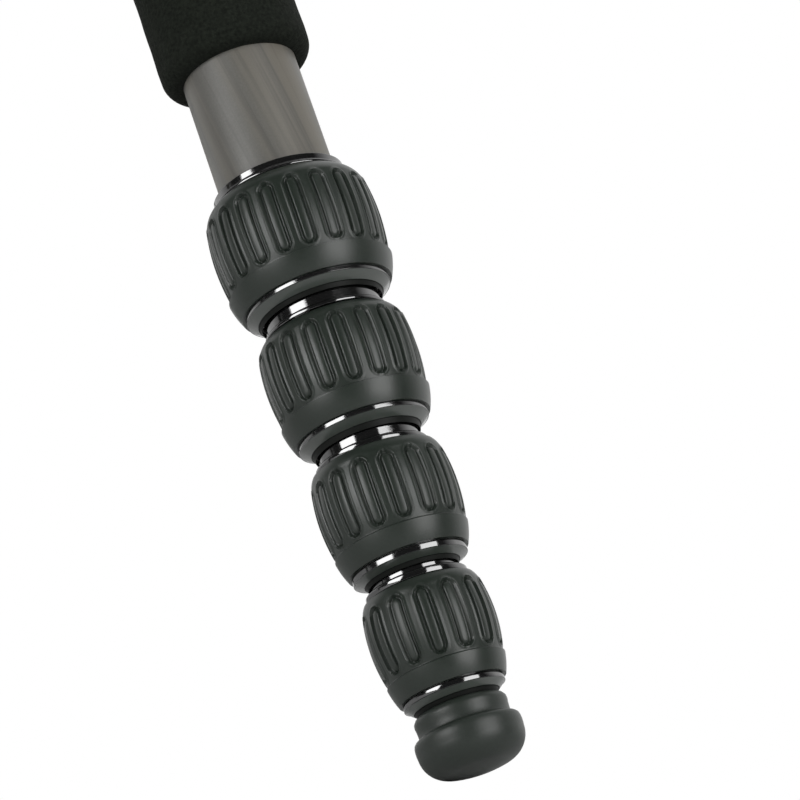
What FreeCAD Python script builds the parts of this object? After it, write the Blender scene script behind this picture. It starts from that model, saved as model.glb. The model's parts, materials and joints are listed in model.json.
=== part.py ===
"""Travel tripod with a ball head, drawn as a parametric assembly in millimetres.

The origin lies on the ground under the column's axis, and +Z points up. The tripod stands on
its three feet with every leg section pushed in. Each leg is drawn upright, with its hinge at
the origin and its feet down -Z, and is then tilted and turned into its place. Everything that
the legs carry is drawn with its zero height at the hinge pins.
"""
import FreeCAD, Part
import math
import os

import Sketcher

LEGS = ("a", "b", "c")
LOCKS = (1, 2, 3, 4)

# One value per size, in millimetres or degrees.
SIZES = {
    # stance
    "leg_splay": 21.5,
    "first_leg_azimuth": -30,
    "hinge_radius": 31,
    # telescopic tubes, from the top section down
    "tube_diameter_1": 25,
    "tube_diameter_2": 22,
    "tube_diameter_3": 19,
    "tube_diameter_4": 16,
    "tube_diameter_5": 13,
    "tube_wall": 1.2,
    "tube_top": 30,
    "tube_stagger": 5,
    "tube_end_inset": 3,
    # places of the sleeves' lower edges, measured down the leg
    "first_lock_reach": 295.9,
    "lock_pitch_2": 30.2,
    "lock_pitch_3": 29.5,
    "lock_pitch_4": 27.6,
    # rubber sleeves of the twist locks
    "sleeve_height_1": 24.4,
    "sleeve_height_2": 23.4,
    "sleeve_height_3": 22.3,
    "sleeve_height_4": 21.4,
    "sleeve_diameter_1": 36.1,
    "sleeve_diameter_2": 32.4,
    "sleeve_diameter_3": 29.2,
    "sleeve_diameter_4": 26.0,
    "sleeve_waist_1": 34.3,
    "sleeve_waist_2": 30.6,
    "sleeve_waist_3": 27.4,
    "sleeve_waist_4": 23.9,
    "sleeve_crown_1": 34.8,
    "sleeve_crown_2": 31.3,
    "sleeve_crown_3": 28.1,
    "sleeve_crown_4": 24.9,
    "band_height_1": 4.5,
    "band_height_2": 4.7,
    "band_height_3": 4.4,
    "band_height_4": 4.1,
    "band_diameter_1": 35.6,
    "band_diameter_2": 31.8,
    "band_diameter_3": 28.1,
    "band_diameter_4": 24.6,
    "edge_diameter_1": 32.5,
    "edge_diameter_2": 29.0,
    "edge_diameter_3": 25.3,
    "edge_diameter_4": 22.2,
    "crown_height": 2.7,
    "crown_land": 1.6,
    "crown_curve": 5,
    "band_curve": 18,
    "band_step": 0.35,
    # flutes of the sleeves, each a slot with a rib standing in it
    "flute_count_1": 20,
    "flute_count_2": 18,
    "flute_count_3": 16,
    "flute_count_4": 14,
    "flute_width": 3.4,
    "flute_depth": 0.8,
    "flute_top_margin_1": 3.0,
    "flute_top_margin_2": 2.4,
    "flute_top_margin_3": 2.5,
    "flute_top_margin_4": 2.1,
    # where the middle of one flute stands, as a turn about the leg
    "flute_azimuth_1": -90,
    "flute_azimuth_2": -75,
    "flute_azimuth_3": -75,
    "flute_azimuth_4": -87,
    "flute_foot_margin": 0.5,
    "rib_width": 1.1,
    "rib_end_gap": 1.4,
    # threaded bushes on the tubes and the nuts that run on them
    "bush_wall": 0.9,
    "thread_clearance": 0.3,
    "nut_wall": 1.0,
    "running_gap": 0.3,
    "slide_clearance": 0.4,
    "flange_diameter_1": 29.8,
    "flange_diameter_2": 26.4,
    "flange_diameter_3": 24.0,
    "flange_diameter_4": 21.3,
    "flange_thickness": 0.75,
    "neck_diameter_1": 28.6,
    "neck_diameter_2": 24.8,
    "neck_diameter_3": 21.3,
    "neck_diameter_4": 18.0,
    "first_neck_height": 1.5,
    "neck_bevel": 0.25,
    "neck_nesting": 0.4,
    "lip_diameter_1": 26.9,
    "lip_diameter_2": 23.2,
    "lip_diameter_3": 19.8,
    "lip_diameter_4": 17.4,
    "lip_wall": 0.45,
    "lip_drop": 2.4,
    "lip_recess": 1.4,
    "ring_height": 0.95,
    "ring_inset": 0.1,
    "collet_height": 1.8,
    "collet_slit": 1.4,
    "collet_gap": 0.1,
    "bond_gap": 0.05,
    # foam grip on the top section
    "foam_wall": 4,
    "foam_top": 72,
    "foam_gap": 54.8,
    "foam_rounding": 3.2,
    # rubber foot
    "foot_gap": 0.7,
    "foot_top_diameter": 17.4,
    "foot_top_bevel": 0.9,
    "foot_collar_diameter": 19.2,
    "foot_collar_height": 1.9,
    "foot_neck_height": 1.65,
    "foot_neck_curve": 2.6,
    "foot_shoulder_diameter": 21.3,
    "foot_diameter": 21.9,
    "foot_centre_drop": 10.9,
    "foot_edge_radius": 5.6,
    "foot_crown": 0.7,
    "foot_socket_depth": 6,
    # hinge at the top of a leg
    "lug_diameter": 29.6,
    "lug_cup_top": 25,
    "lug_cup_height": 28,
    "lug_lip_height": 3,
    "lug_lip_diameter": 31,
    "tongue_width": 16,
    "tongue_radius": 11,
    "hinge_pin_diameter": 8,
    "pin_clearance": 0.08,
    "ear_thickness": 6,
    "ear_radius": 13,
    "ear_gap": 0.3,
    "bolt_head_diameter": 13,
    "bolt_head_height": 2.2,
    "bolt_socket_diameter": 5.8,
    "bolt_socket_depth": 1.4,
    # angle latch that slides on the tongue
    "latch_travel": 2.6,
    "latch_tooth_width": 4,
    "latch_tooth_height": 4,
    "latch_height": 6,
    "latch_wall": 3,
    "latch_gap": 0.3,
    "latch_tab_reach": 4.5,
    "latch_tab_height": 3,
    "latch_tab_width": 17,
    "notch_gap": 0.35,
    "second_stop": 50.8,
    "third_stop": 80,
    # hub that joins the legs
    "hub_diameter": 46,
    "hub_drop": 13,
    "hub_rise": 18,
    "hub_bevel": 3,
    "spigot_diameter": 29,
    "spigot_height": 16,
    # centre column
    "column_diameter": 22,
    "column_clearance": 0.3,
    "column_wall": 1.4,
    "column_reach": 190,
    "column_lock_diameter": 40,
    "column_lock_height": 22,
    "column_lock_web": 3,
    "column_lock_wall": 2,
    "column_lock_rounding": 2,
    "column_flute_count": 20,
    "column_flute_radius": 2.6,
    "column_flute_sink": 1.1,
    "top_plate_diameter": 44,
    "top_plate_height": 6,
    "top_plate_bevel": 1,
    "top_spigot_height": 14,
    "stud_diameter": 9.3,
    "stud_height": 8,
    "plug_height": 10,
    "plug_flange": 2.5,
    "hook_wire": 3,
    "hook_radius": 7,
    "hook_stem": 6,
    # ball head
    "head_diameter": 42,
    "base_height": 9,
    "base_bevel": 1,
    "spindle_diameter": 16,
    "spindle_height": 5,
    "housing_height": 36,
    "housing_top_diameter": 34,
    "housing_taper_height": 12,
    "housing_bevel": 1,
    "ball_diameter": 30,
    "ball_gap": 0.3,
    "ball_height": 25,
    "ball_flat": 13.2,
    "ball_opening": 8.6,
    "ball_pin_diameter": 6,
    "ball_pin_height": 6,
    "seat_wall": 2.2,
    "seat_height": 7,
    "seat_bore": 12,
    "stem_diameter": 12,
    "stem_height": 12,
    "stem_flange_diameter": 24,
    "stem_flange_height": 3,
    "notch_clearance": 0.5,
    "boss_diameter": 18,
    "boss_reach": 23,
    "main_knob_azimuth": 180,
    "main_knob_diameter": 25,
    "main_knob_length": 17,
    "main_knob_flutes": 12,
    "main_screw_diameter": 7,
    "main_screw_length": 7,
    "knob_gap": 0.6,
    "knob_flute_radius": 2.2,
    "knob_flute_sink": 0.9,
    "knob_bevel": 1,
    "dial_diameter": 14,
    "dial_height": 3,
    "dial_recess": 2,
    "dial_pin_diameter": 4,
    "dial_pin_length": 4,
    "pan_knob_azimuth": 105,
    "pan_knob_diameter": 14,
    "pan_knob_length": 12,
    "pan_knob_flutes": 10,
    "pan_screw_diameter": 5,
    "pan_screw_length": 12.4,
    "pan_knob_rise": 4,
    # quick-release clamp and plate
    "clamp_length": 44,
    "clamp_floor": 7,
    "dovetail_width": 38,
    "dovetail_height": 4,
    "dovetail_rake": 3,
    "dovetail_gap": 0.3,
    "jaw_width": 6,
    "jaw_height": 5.4,
    "jaw_gap": 0.4,
    "floor_width": 37,
    "clamp_knob_diameter": 17,
    "clamp_knob_length": 13,
    "clamp_knob_flutes": 10,
    "clamp_screw_diameter": 4,
    "clamp_screw_depth": 9,
    "level_diameter": 11,
    "level_boss_diameter": 15,
    "level_height": 4,
    "plate_length": 46,
    "plate_top_width": 38,
    "plate_top_height": 4.5,
    "plate_corner": 4,
    "plate_pad_height": 1,
    "plate_pad_inset": 2,
    "plate_pad_slot": 11,
    "camera_screw_diameter": 6.35,
    "camera_screw_rise": 6.3,
    "camera_neck_diameter": 4.8,
    "camera_neck_rise": 0.3,
    "screw_head_diameter": 15,
    "screw_head_height": 2.6,
    "screw_slot_width": 1.6,
    "screw_slot_depth": 1.2,
    "screw_gap": 0.3,
}

doc = FreeCAD.newDocument("travel_tripod")
sheet = doc.addObject("Spreadsheet::Sheet", "sizes")


def fill_sheet():
    """Write every size into the sheet as a plain number with its name as the alias."""
    for row, (name, number) in enumerate(SIZES.items(), start=1):
        sheet.set(f"A{row}", name)
        sheet.set(f"B{row}", str(number))
        sheet.setAlias(f"B{row}", name)
    doc.recompute()


class Size:
    """A dimension that carries its number and the sheet formula that gives it."""

    def __init__(self, number, formula):
        self.number = float(number)
        self.formula = formula

    def __add__(self, other):
        other = as_size(other)
        return Size(self.number + other.number, f"({self.formula} + {other.formula})")

    def __sub__(self, other):
        other = as_size(other)
        return Size(self.number - other.number, f"({self.formula} - {other.formula})")

    def __mul__(self, other):
        other = as_size(other)
        return Size(self.number * other.number, f"({self.formula} * {other.formula})")

    def __truediv__(self, other):
        other = as_size(other)
        return Size(self.number / other.number, f"({self.formula} / {other.formula})")

    def __neg__(self):
        return Size(-self.number, f"(-1 * {self.formula})")


def as_size(item):
    """A Size as it is, or a plain number as a Size."""
    return item if isinstance(item, Size) else Size(item, f"({item})")


def size(name):
    """The size that the sheet holds under this name."""
    return Size(sheet.get(name), f"{sheet.Name}.{name}")


def half(name):
    """Half of a named size, such as the radius of a named diameter."""
    return size(name) / 2


def cosine(angle):
    return Size(math.cos(math.radians(angle.number)), f"cos({angle.formula})")


def sine(angle):
    return Size(math.sin(math.radians(angle.number)), f"sin({angle.formula})")


def root(item):
    return Size(math.sqrt(item.number), f"sqrt({item.formula})")


ZERO = as_size(0)


def new_body(name):
    return doc.addObject("PartDesign::Body", name + "_solid")


def origin_feature(body, role):
    """One of the body's own origin planes or axes."""
    return next(item for item in body.Origin.OriginFeatures if item.Role == role)


def new_sketch(body, name, plane, offset):
    """An empty sketch on an origin plane, moved along the plane's normal by offset."""
    sketch = body.newObject("Sketcher::SketchObject", name)
    sketch.AttachmentSupport = [(origin_feature(body, plane), "")]
    sketch.MapMode = "FlatFace"
    if offset is not None:
        sketch.AttachmentOffset = FreeCAD.Placement(FreeCAD.Vector(0, 0, offset.number), FreeCAD.Rotation())
        sketch.setExpression("AttachmentOffset.Base.z", offset.formula)
    return sketch


def radial_sketch(body, name, azimuth, height, start):
    """A sketch square to a radial direction, at a distance from the upright axis."""
    sketch = body.newObject("Sketcher::SketchObject", name)
    sketch.AttachmentSupport = [(origin_feature(body, "YZ_Plane"), "")]
    sketch.MapMode = "FlatFace"
    turn = FreeCAD.Rotation(FreeCAD.Vector(0, 1, 0), azimuth.number)
    base = turn.multVec(FreeCAD.Vector(0, 0, start.number)) + FreeCAD.Vector(0, height.number, 0)
    sketch.AttachmentOffset = FreeCAD.Placement(base, turn)
    sketch.setExpression("AttachmentOffset.Base.x", (start * sine(azimuth)).formula)
    sketch.setExpression("AttachmentOffset.Base.y", height.formula)
    sketch.setExpression("AttachmentOffset.Base.z", (start * cosine(azimuth)).formula)
    return sketch


def bind(sketch, kind, *items):
    """Add one dimension to a sketch and tie it to the sheet. The last item is its Size."""
    amount = items[-1]
    index = sketch.addConstraint(Sketcher.Constraint(kind, *items[:-1], amount.number))
    label = f"d{index}"
    sketch.renameConstraint(index, label)
    sketch.setExpression(f"Constraints.{label}", amount.formula)


def pin_point(sketch, curve, end, across, up):
    """Fix one end of a curve at a place given by two Sizes."""
    if across.number == 0:
        sketch.addConstraint(Sketcher.Constraint("PointOnObject", curve, end, -2))
    else:
        bind(sketch, "DistanceX", -1, 1, curve, end, across)
    if up.number == 0:
        sketch.addConstraint(Sketcher.Constraint("PointOnObject", curve, end, -1))
    else:
        bind(sketch, "DistanceY", -1, 1, curve, end, up)


def arc_through(start, finish, radius, side):
    """A short arc from start to finish that bulges to the left (side 1) or right (side -1)."""
    chord = finish - start
    middle = (start + finish) / 2
    left = FreeCAD.Vector(-chord.y, chord.x, 0).normalize()
    half_chord = chord.Length / 2
    rise = radius - math.sqrt(radius**2 - half_chord**2)
    return Part.Arc(start, middle + left * rise * side, finish)


def draw(sketch, corners):
    """Draw a closed outline and tie every corner and arc to the sheet.

    A corner is (across, up). With a radius and a side behind them, the edge that leaves the
    corner is an arc that bulges to that side.
    """
    points = [FreeCAD.Vector(corner[0].number, corner[1].number, 0) for corner in corners]
    curves = []
    for index, corner in enumerate(corners):
        start, finish = points[index], points[(index + 1) % len(points)]
        if len(corner) == 2:
            shape = Part.LineSegment(start, finish)
        else:
            shape = arc_through(start, finish, corner[2].number, corner[3])
        curve = sketch.addGeometry(shape, False)
        head = 1 if sketch.getPoint(curve, 1).distanceToPoint(start) < 1e-6 else 2
        curves.append((curve, head, 3 - head))
    for index, corner in enumerate(corners):
        curve, head, tail = curves[index]
        following, next_head, _ = curves[(index + 1) % len(curves)]
        sketch.addConstraint(Sketcher.Constraint("Coincident", curve, tail, following, next_head))
        pin_point(sketch, curve, head, corner[0], corner[1])
        if len(corner) > 2:
            bind(sketch, "Radius", curve, corner[2])


def draw_circle(sketch, across, up, radius):
    """Draw a circle whose centre and radius follow the sheet."""
    centre = FreeCAD.Vector(across.number, up.number, 0)
    curve = sketch.addGeometry(Part.Circle(centre, FreeCAD.Vector(0, 0, 1), radius.number), False)
    pin_point(sketch, curve, 3, across, up)
    bind(sketch, "Radius", curve, radius)


def draw_slot(sketch, half_width, low, high):
    """Draw an upright slot with round ends on the sketch's upright axis."""
    ends = []
    for centre, turn in ((low, math.pi), (high, 0)):
        middle = FreeCAD.Vector(0, centre.number, 0)
        circle = Part.Circle(middle, FreeCAD.Vector(0, 0, 1), half_width.number)
        curve = sketch.addGeometry(Part.ArcOfCircle(circle, turn, turn + math.pi), False)
        pin_point(sketch, curve, 3, ZERO, centre)
        bind(sketch, "Radius", curve, half_width)
        for end in (1, 2):
            sketch.addConstraint(Sketcher.Constraint("Horizontal", curve, 3, curve, end))
        ends.append(curve)
    lower, upper = ends
    for first, last in ((lower, upper), (upper, lower)):
        start, finish = sketch.getPoint(first, 2), sketch.getPoint(last, 1)
        side = sketch.addGeometry(Part.LineSegment(start, finish), False)
        sketch.addConstraint(Sketcher.Constraint("Coincident", first, 2, side, 1))
        sketch.addConstraint(Sketcher.Constraint("Coincident", side, 2, last, 1))


def rectangle(left, right, low, high):
    """The four corners of a rectangle."""
    return [(left, low), (right, low), (right, high), (left, high)]


def revolve(body, sketch, groove=False):
    """Turn a sketch on the XZ plane about the body's upright axis."""
    kind = "PartDesign::Groove" if groove else "PartDesign::Revolution"
    feature = body.newObject(kind, sketch.Name + "_turned")
    feature.Profile = sketch
    feature.ReferenceAxis = (sketch, ["V_Axis"])
    feature.Angle = 360
    body.Tip = feature
    return feature


def extrude(body, sketch, length=None, cut=False, both=False, back=False):
    """Pad a sketch, or pocket it with cut. No length means through everything."""
    feature = body.newObject("PartDesign::Pocket" if cut else "PartDesign::Pad", sketch.Name + "_run")
    feature.Profile = sketch
    if both:
        feature.SideType = "Symmetric"
    feature.Reversed = back
    if length is None:
        feature.Type = "ThroughAll"
    else:
        feature.Length = length.number
        feature.setExpression("Length", length.formula)
    body.Tip = feature
    return feature


def repeat(body, features, count):
    """Repeat features evenly about the body's upright axis."""
    pattern = body.newObject("PartDesign::PolarPattern", features[0].Name + "_ring")
    pattern.Originals = features
    pattern.Axis = (origin_feature(body, "Z_Axis"), [""])
    pattern.Angle = 360
    pattern.Occurrences = int(round(count.number))
    pattern.setExpression("Occurrences", count.formula)
    body.Tip = pattern
    return pattern


def turned(name, corners):
    """A body made by turning one outline about its upright axis."""
    body = new_body(name)
    sketch = new_sketch(body, name + "_outline", "XZ_Plane", None)
    draw(sketch, corners)
    revolve(body, sketch)
    return body


def ring(name, inner, outer, low, high):
    """A plain ring or tube."""
    return turned(name, rectangle(inner, outer, low, high))


subparts = []


def place(label, bodies, placement):
    """Gather the bodies of one sub-part under its own label and set it in the assembly."""
    item = doc.addObject("Part::Compound", label)
    item.Label = label
    item.Links = bodies
    item.Placement = placement
    subparts.append(item)
    return item


# Places along a leg, measured down from its hinge.

def sleeve_edge(lock):
    """How far below the hinge the sleeve of a lock ends."""
    reach = size("first_lock_reach")
    for number in LOCKS[1:lock]:
        reach = reach + size(f"lock_pitch_{number}")
    return reach


def sleeve_top(lock):
    return sleeve_edge(lock) - size(f"sleeve_height_{lock}")


def tube_radius(section):
    return half(f"tube_diameter_{section}")


def tube_bore(section):
    return tube_radius(section) - size("tube_wall")


def tube_start(section):
    return size("tube_top") + size("tube_stagger") * (section - 1)


def tube_end(section):
    """The lower end of a tube: just inside its lock, or the bottom of the foot's socket."""
    if section in LOCKS:
        return sleeve_edge(section) - size("tube_end_inset")
    return foot_top() + size("foot_socket_depth")


def foot_top():
    return sleeve_edge(LOCKS[-1]) + size("lip_drop") + size("foot_gap")


def foot_centre():
    """Where the round edge of the foot has its centre."""
    return sleeve_edge(LOCKS[-1]) + size("foot_centre_drop")


def hinge_height():
    """Height of the hinge pins when the round edge of each foot just touches the ground."""
    splay = size("leg_splay")
    offset = half("foot_diameter") - size("foot_edge_radius")
    return foot_centre() * cosine(splay) + offset * sine(splay) + size("foot_edge_radius")


def bush_radius(lock):
    return tube_radius(lock) + size("bush_wall")


def nut_bore(lock):
    return bush_radius(lock) + size("thread_clearance")


def nut_radius(lock):
    return nut_bore(lock) + size("nut_wall")


# Sub-parts of one leg.

def make_tube(section):
    """One carbon tube."""
    name = f"tube_{section}"
    return ring(name, tube_bore(section), tube_radius(section), -tube_end(section), -tube_start(section))


def make_bush(lock):
    """The threaded bush glued on a tube's lower end, with its flange and the neck above it.

    The necks of the lower bushes reach up into the lip of the lock above when the leg is
    pushed in, and the top one is a short ring.
    """
    tube = tube_radius(lock)
    flange_low = -sleeve_top(lock) + size("running_gap")
    flange_high = flange_low + size("flange_thickness")
    if lock == LOCKS[0]:
        neck_high = flange_high + size("first_neck_height")
    else:
        neck_high = -sleeve_edge(lock - 1) - size("lip_drop") + size("neck_nesting")
    neck = half(f"neck_diameter_{lock}")
    flange = half(f"flange_diameter_{lock}")
    bevel = size("neck_bevel")
    return turned(f"bush_{lock}", [
        (tube, -tube_end(lock)),
        (bush_radius(lock), -tube_end(lock)),
        (bush_radius(lock), flange_low),
        (flange, flange_low),
        (flange, flange_high - bevel),
        (neck, flange_high),
        (neck, neck_high - bevel),
        (neck - bevel, neck_high),
        (tube, neck_high),
    ])


def make_nut(lock):
    """The nut that carries the sleeve, with a polished ring, a cone and a recessed lip."""
    edge = -sleeve_edge(lock)
    ring_low = edge - size("ring_height")
    lip_low = edge - size("lip_drop")
    ring_radius = half(f"edge_diameter_{lock}") - size("ring_inset")
    lip = half(f"lip_diameter_{lock}")
    mouth = lip - size("lip_wall")
    passage = tube_radius(lock + 1) + size("slide_clearance")
    web_high = edge + size("running_gap")
    return turned(f"nut_{lock}", [
        (passage, lip_low + size("lip_recess")),
        (mouth, lip_low + size("lip_recess")),
        (mouth, lip_low),
        (lip, lip_low),
        (ring_radius, ring_low),
        (ring_radius, edge),
        (nut_radius(lock), edge),
        (nut_radius(lock), -sleeve_top(lock)),
        (nut_bore(lock), -sleeve_top(lock)),
        (nut_bore(lock), web_high),
        (passage, web_high),
    ])


def make_collet(lock):
    """The split ring that the nut presses on the sliding tube."""
    low = -sleeve_edge(lock) + size("running_gap")
    inner = tube_radius(lock + 1) + size("slide_clearance")
    outer = nut_bore(lock) - size("collet_gap")
    body = ring(f"collet_{lock}", inner, outer, low, low + size("collet_height"))
    slit = new_sketch(body, f"collet_{lock}_slit", "XY_Plane", low)
    reach = nut_radius(lock)
    draw(slit, rectangle(inner / 2, reach, -half("collet_slit"), half("collet_slit")))
    extrude(body, slit, cut=True, back=True)
    return body


def make_sleeve(lock):
    """The rubber sleeve: a plain band, a barrel with flutes and a rounded crown.

    Every flute is a slot with round ends that leaves a narrow rib standing along its middle.
    """
    edge = -sleeve_edge(lock)
    top = -sleeve_top(lock)
    core = nut_radius(lock) + size("bond_gap")
    band_high = edge + size(f"band_height_{lock}")
    band = half(f"band_diameter_{lock}")
    waist = half(f"sleeve_waist_{lock}")
    widest = half(f"sleeve_diameter_{lock}")
    crown = half(f"sleeve_crown_{lock}")
    crown_low = top - size("crown_height")
    barrel_low = band_high + size("band_step")
    body = turned(f"sleeve_{lock}", [
        (core, edge),
        (half(f"edge_diameter_{lock}"), edge, size("band_curve"), -1),
        (band, band_high),
        (waist, barrel_low, barrel_curve(barrel_low, crown_low, waist, crown, widest), -1),
        (crown, crown_low, size("crown_curve"), -1),
        (core + size("crown_land"), top),
        (core, top),
    ])
    floor = widest - size("flute_depth")
    azimuth = size(f"flute_azimuth_{lock}")
    flute = radial_sketch(body, f"sleeve_{lock}_flute", azimuth, ZERO, floor)
    low = barrel_low + size("flute_foot_margin") + half("flute_width")
    high = top - size(f"flute_top_margin_{lock}") - half("flute_width")
    draw_slot(flute, half("flute_width"), low, high)
    shorter = size("rib_end_gap") - half("flute_width") + half("rib_width")
    draw_slot(flute, half("rib_width"), low + shorter, high - shorter)
    cut = extrude(body, flute, cut=True, back=True)
    repeat(body, [cut], size(f"flute_count_{lock}"))
    return body


def barrel_curve(low, high, low_radius, high_radius, widest):
    """Radius of the arc that swells a barrel's side out to its widest place.

    The arc passes the two ends and, half-way between them, the widest radius.
    """
    middle = (low_radius + high_radius) / 2
    rise = widest - middle
    lean = low_radius - high_radius
    chord_squared = (high - low) * (high - low) + lean * lean
    return (chord_squared / 4 + rise * rise) / (rise * 2)


def make_foam():
    """The soft grip round the top tube, with rounded ends."""
    inner = tube_radius(1)
    outer = inner + size("foam_wall")
    low = -sleeve_edge(1) + size("foam_gap")
    high = -size("foam_top")
    rounding = size("foam_rounding")
    return turned("foam_grip", [
        (inner, low),
        (outer - rounding, low, rounding, -1),
        (outer, low + rounding),
        (outer, high - rounding, rounding, -1),
        (outer - rounding, high),
        (inner, high),
    ])


def make_foot():
    """The rubber foot: a collar, a drawn-in neck and a round-edged ball.

    The crowned bottom is part of a large ball that runs smoothly into the round edge.
    """
    tube = tube_radius(5)
    top = -foot_top()
    collar = half("foot_collar_diameter")
    collar_high = top - size("foot_top_bevel")
    collar_low = collar_high - size("foot_collar_height")
    shoulder_low = collar_low - size("foot_neck_height")
    edge = size("foot_edge_radius")
    offset = half("foot_diameter") - edge
    centre = -foot_centre()
    shoulder = half("foot_shoulder_diameter")
    side = half("foot_diameter")
    crown = size("foot_crown")
    rise = (offset * offset - crown * crown) / (crown * 2)
    reach = rise + crown
    crown_radius = reach + edge
    return turned("rubber_foot", [
        (ZERO, -tube_end(5)),
        (ZERO, centre - edge - crown, crown_radius, -1),
        (offset + edge * offset / reach, centre - edge * rise / reach, edge, -1),
        (side, centre, edge, -1),
        (shoulder, shoulder_low, size("foot_neck_curve"), 1),
        (collar, collar_low),
        (collar, collar_high, size("foot_neck_curve"), -1),
        (half("foot_top_diameter"), top),
        (tube, top),
        (tube, -tube_end(5)),
    ])


def make_lug():
    """The casting on a leg's top: a cup for the tube and a tongue with the hinge bore."""
    cup_top = -size("lug_cup_top")
    cup_low = cup_top - size("lug_cup_height")
    tube = tube_radius(1)
    seat = -size("tube_top")
    rim = half("lug_lip_diameter")
    outer = half("lug_diameter")
    rim_high = cup_low + size("lug_lip_height")
    body = turned("hinge_lug", [
        (ZERO, seat),
        (tube, seat),
        (tube, cup_low),
        (rim, cup_low),
        (rim, rim_high),
        (outer, rim_high + size("hub_bevel") / 2),
        (outer, cup_top - size("hub_bevel")),
        (outer - size("hub_bevel"), cup_top),
        (ZERO, cup_top),
    ])
    head = size("tongue_radius")
    side = new_sketch(body, "tongue_side", "XZ_Plane", None)
    draw(side, [
        (-head, cup_top - size("hub_bevel") / 2),
        (head, cup_top - size("hub_bevel") / 2),
        (head, ZERO, head, -1),
        (ZERO, head, head, -1),
        (-head, ZERO),
    ])
    extrude(body, side, size("tongue_width"), both=True)
    bore = new_sketch(body, "tongue_bore", "XZ_Plane", None)
    draw_circle(bore, ZERO, ZERO, half("hinge_pin_diameter") + size("pin_clearance"))
    extrude(body, bore, size("tongue_width") * 2, cut=True, both=True)
    return body


def latch_rest():
    """How far below the hinge the tips of the latch's teeth lie when it is drawn back."""
    return size("ear_radius") + size("notch_gap")


def ear_inner():
    """Half the gap between the two ears of a yoke."""
    return half("tongue_width") + size("ear_gap")


def ear_outer():
    return ear_inner() + size("ear_thickness")


def make_latch():
    """The angle latch: a square slider round the tongue, two teeth and a thumb tab."""
    tip = -latch_rest()
    shoulder = tip - size("latch_tooth_height")
    low = shoulder - size("latch_height")
    gap = size("latch_gap")
    inner_x = size("tongue_radius") + gap
    outer_x = inner_x + size("latch_wall")
    inner_y = half("tongue_width") + gap
    outer_y = ear_outer()
    body = new_body("angle_latch")
    frame = new_sketch(body, "latch_frame", "XY_Plane", low)
    draw(frame, rectangle(-outer_x, outer_x, -outer_y, outer_y))
    draw(frame, rectangle(-inner_x, inner_x, -inner_y, inner_y))
    extrude(body, frame, size("latch_height"))
    teeth = new_sketch(body, "latch_teeth", "XY_Plane", shoulder)
    tooth = half("latch_tooth_width")
    draw(teeth, rectangle(-tooth, tooth, inner_y, outer_y))
    draw(teeth, rectangle(-tooth, tooth, -outer_y, -inner_y))
    extrude(body, teeth, size("latch_tooth_height"))
    tab = new_sketch(body, "latch_tab", "XZ_Plane", None)
    reach = outer_x + size("latch_tab_reach")
    tab_high = low + size("latch_tab_height")
    draw(tab, [
        (outer_x - gap, low),
        (reach, low),
        (reach, tab_high - gap),
        (reach - gap, tab_high),
        (outer_x + size("latch_tab_height") / 2, tab_high),
        (outer_x, tab_high + size("latch_tab_height") / 2),
        (outer_x - gap, tab_high + size("latch_tab_height") / 2),
    ])
    extrude(body, tab, size("latch_tab_width"), both=True)
    return body


# Sub-parts that the legs carry. Their zero height is at the hinge pins.

def column_bore():
    return half("column_diameter") + size("column_clearance")


def make_apex():
    """The hub: a turned core, and a yoke with notched ears for each leg."""
    bore = column_bore()
    core = half("hub_diameter")
    rise = size("hub_rise")
    drop = -size("hub_drop")
    bevel = size("hub_bevel")
    spigot = half("spigot_diameter")
    body = turned("apex_hub", [
        (bore, drop),
        (core - bevel, drop),
        (core, drop + bevel),
        (core, rise - bevel),
        (core - bevel, rise),
        (spigot, rise),
        (spigot, rise + size("spigot_height")),
        (bore, rise + size("spigot_height")),
    ])
    hinge = size("hinge_radius")
    ear = size("ear_radius")
    yoke = new_sketch(body, "yoke_side", "XZ_Plane", None)
    inside = core - bevel * 2
    draw(yoke, [
        (inside, -ear),
        (hinge, -ear, ear, -1),
        (hinge + ear, ZERO, ear, -1),
        (hinge, ear),
        (inside, ear),
    ])
    yoke_run = extrude(body, yoke, ear_outer() * 2, both=True)
    gap = new_sketch(body, "yoke_gap", "XZ_Plane", None)
    tongue_back = hinge - size("tongue_radius") - size("latch_gap")
    reach = hinge + ear * 2
    draw(gap, rectangle(tongue_back, reach, drop * 2, rise * 2))
    gap_run = extrude(body, gap, ear_inner() * 2, cut=True, both=True)
    bolt = new_sketch(body, "yoke_bore", "XZ_Plane", None)
    draw_circle(bolt, hinge, ZERO, half("hinge_pin_diameter"))
    bolt_run = extrude(body, bolt, ear_outer() * 3, cut=True, both=True)
    notches = [make_notch(body, name) for name in ("leg_splay", "second_stop", "third_stop")]
    repeat(body, [yoke_run, gap_run, bolt_run, *notches], as_size(len(LEGS)))
    return body


def make_notch(body, stop):
    """Cut the notch in which the latch holds a leg at one of its angles from the column."""
    angle = size(stop)
    hinge = size("hinge_radius")
    near = latch_rest() - size("latch_travel") - size("notch_gap")
    far = size("ear_radius") * 1.25
    flank = half("latch_tooth_width") + size("notch_gap")

    def corner(along, across):
        """A point given along and across the leg's direction at this stop."""
        return (
            hinge + along * sine(angle) + across * cosine(angle),
            across * sine(angle) - along * cosine(angle),
        )

    sketch = new_sketch(body, f"notch_{stop}", "XZ_Plane", None)
    draw(sketch, [corner(near, -flank), corner(far, -flank), corner(far, flank), corner(near, flank)])
    return extrude(body, sketch, ear_outer() * 3, cut=True, both=True)


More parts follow.
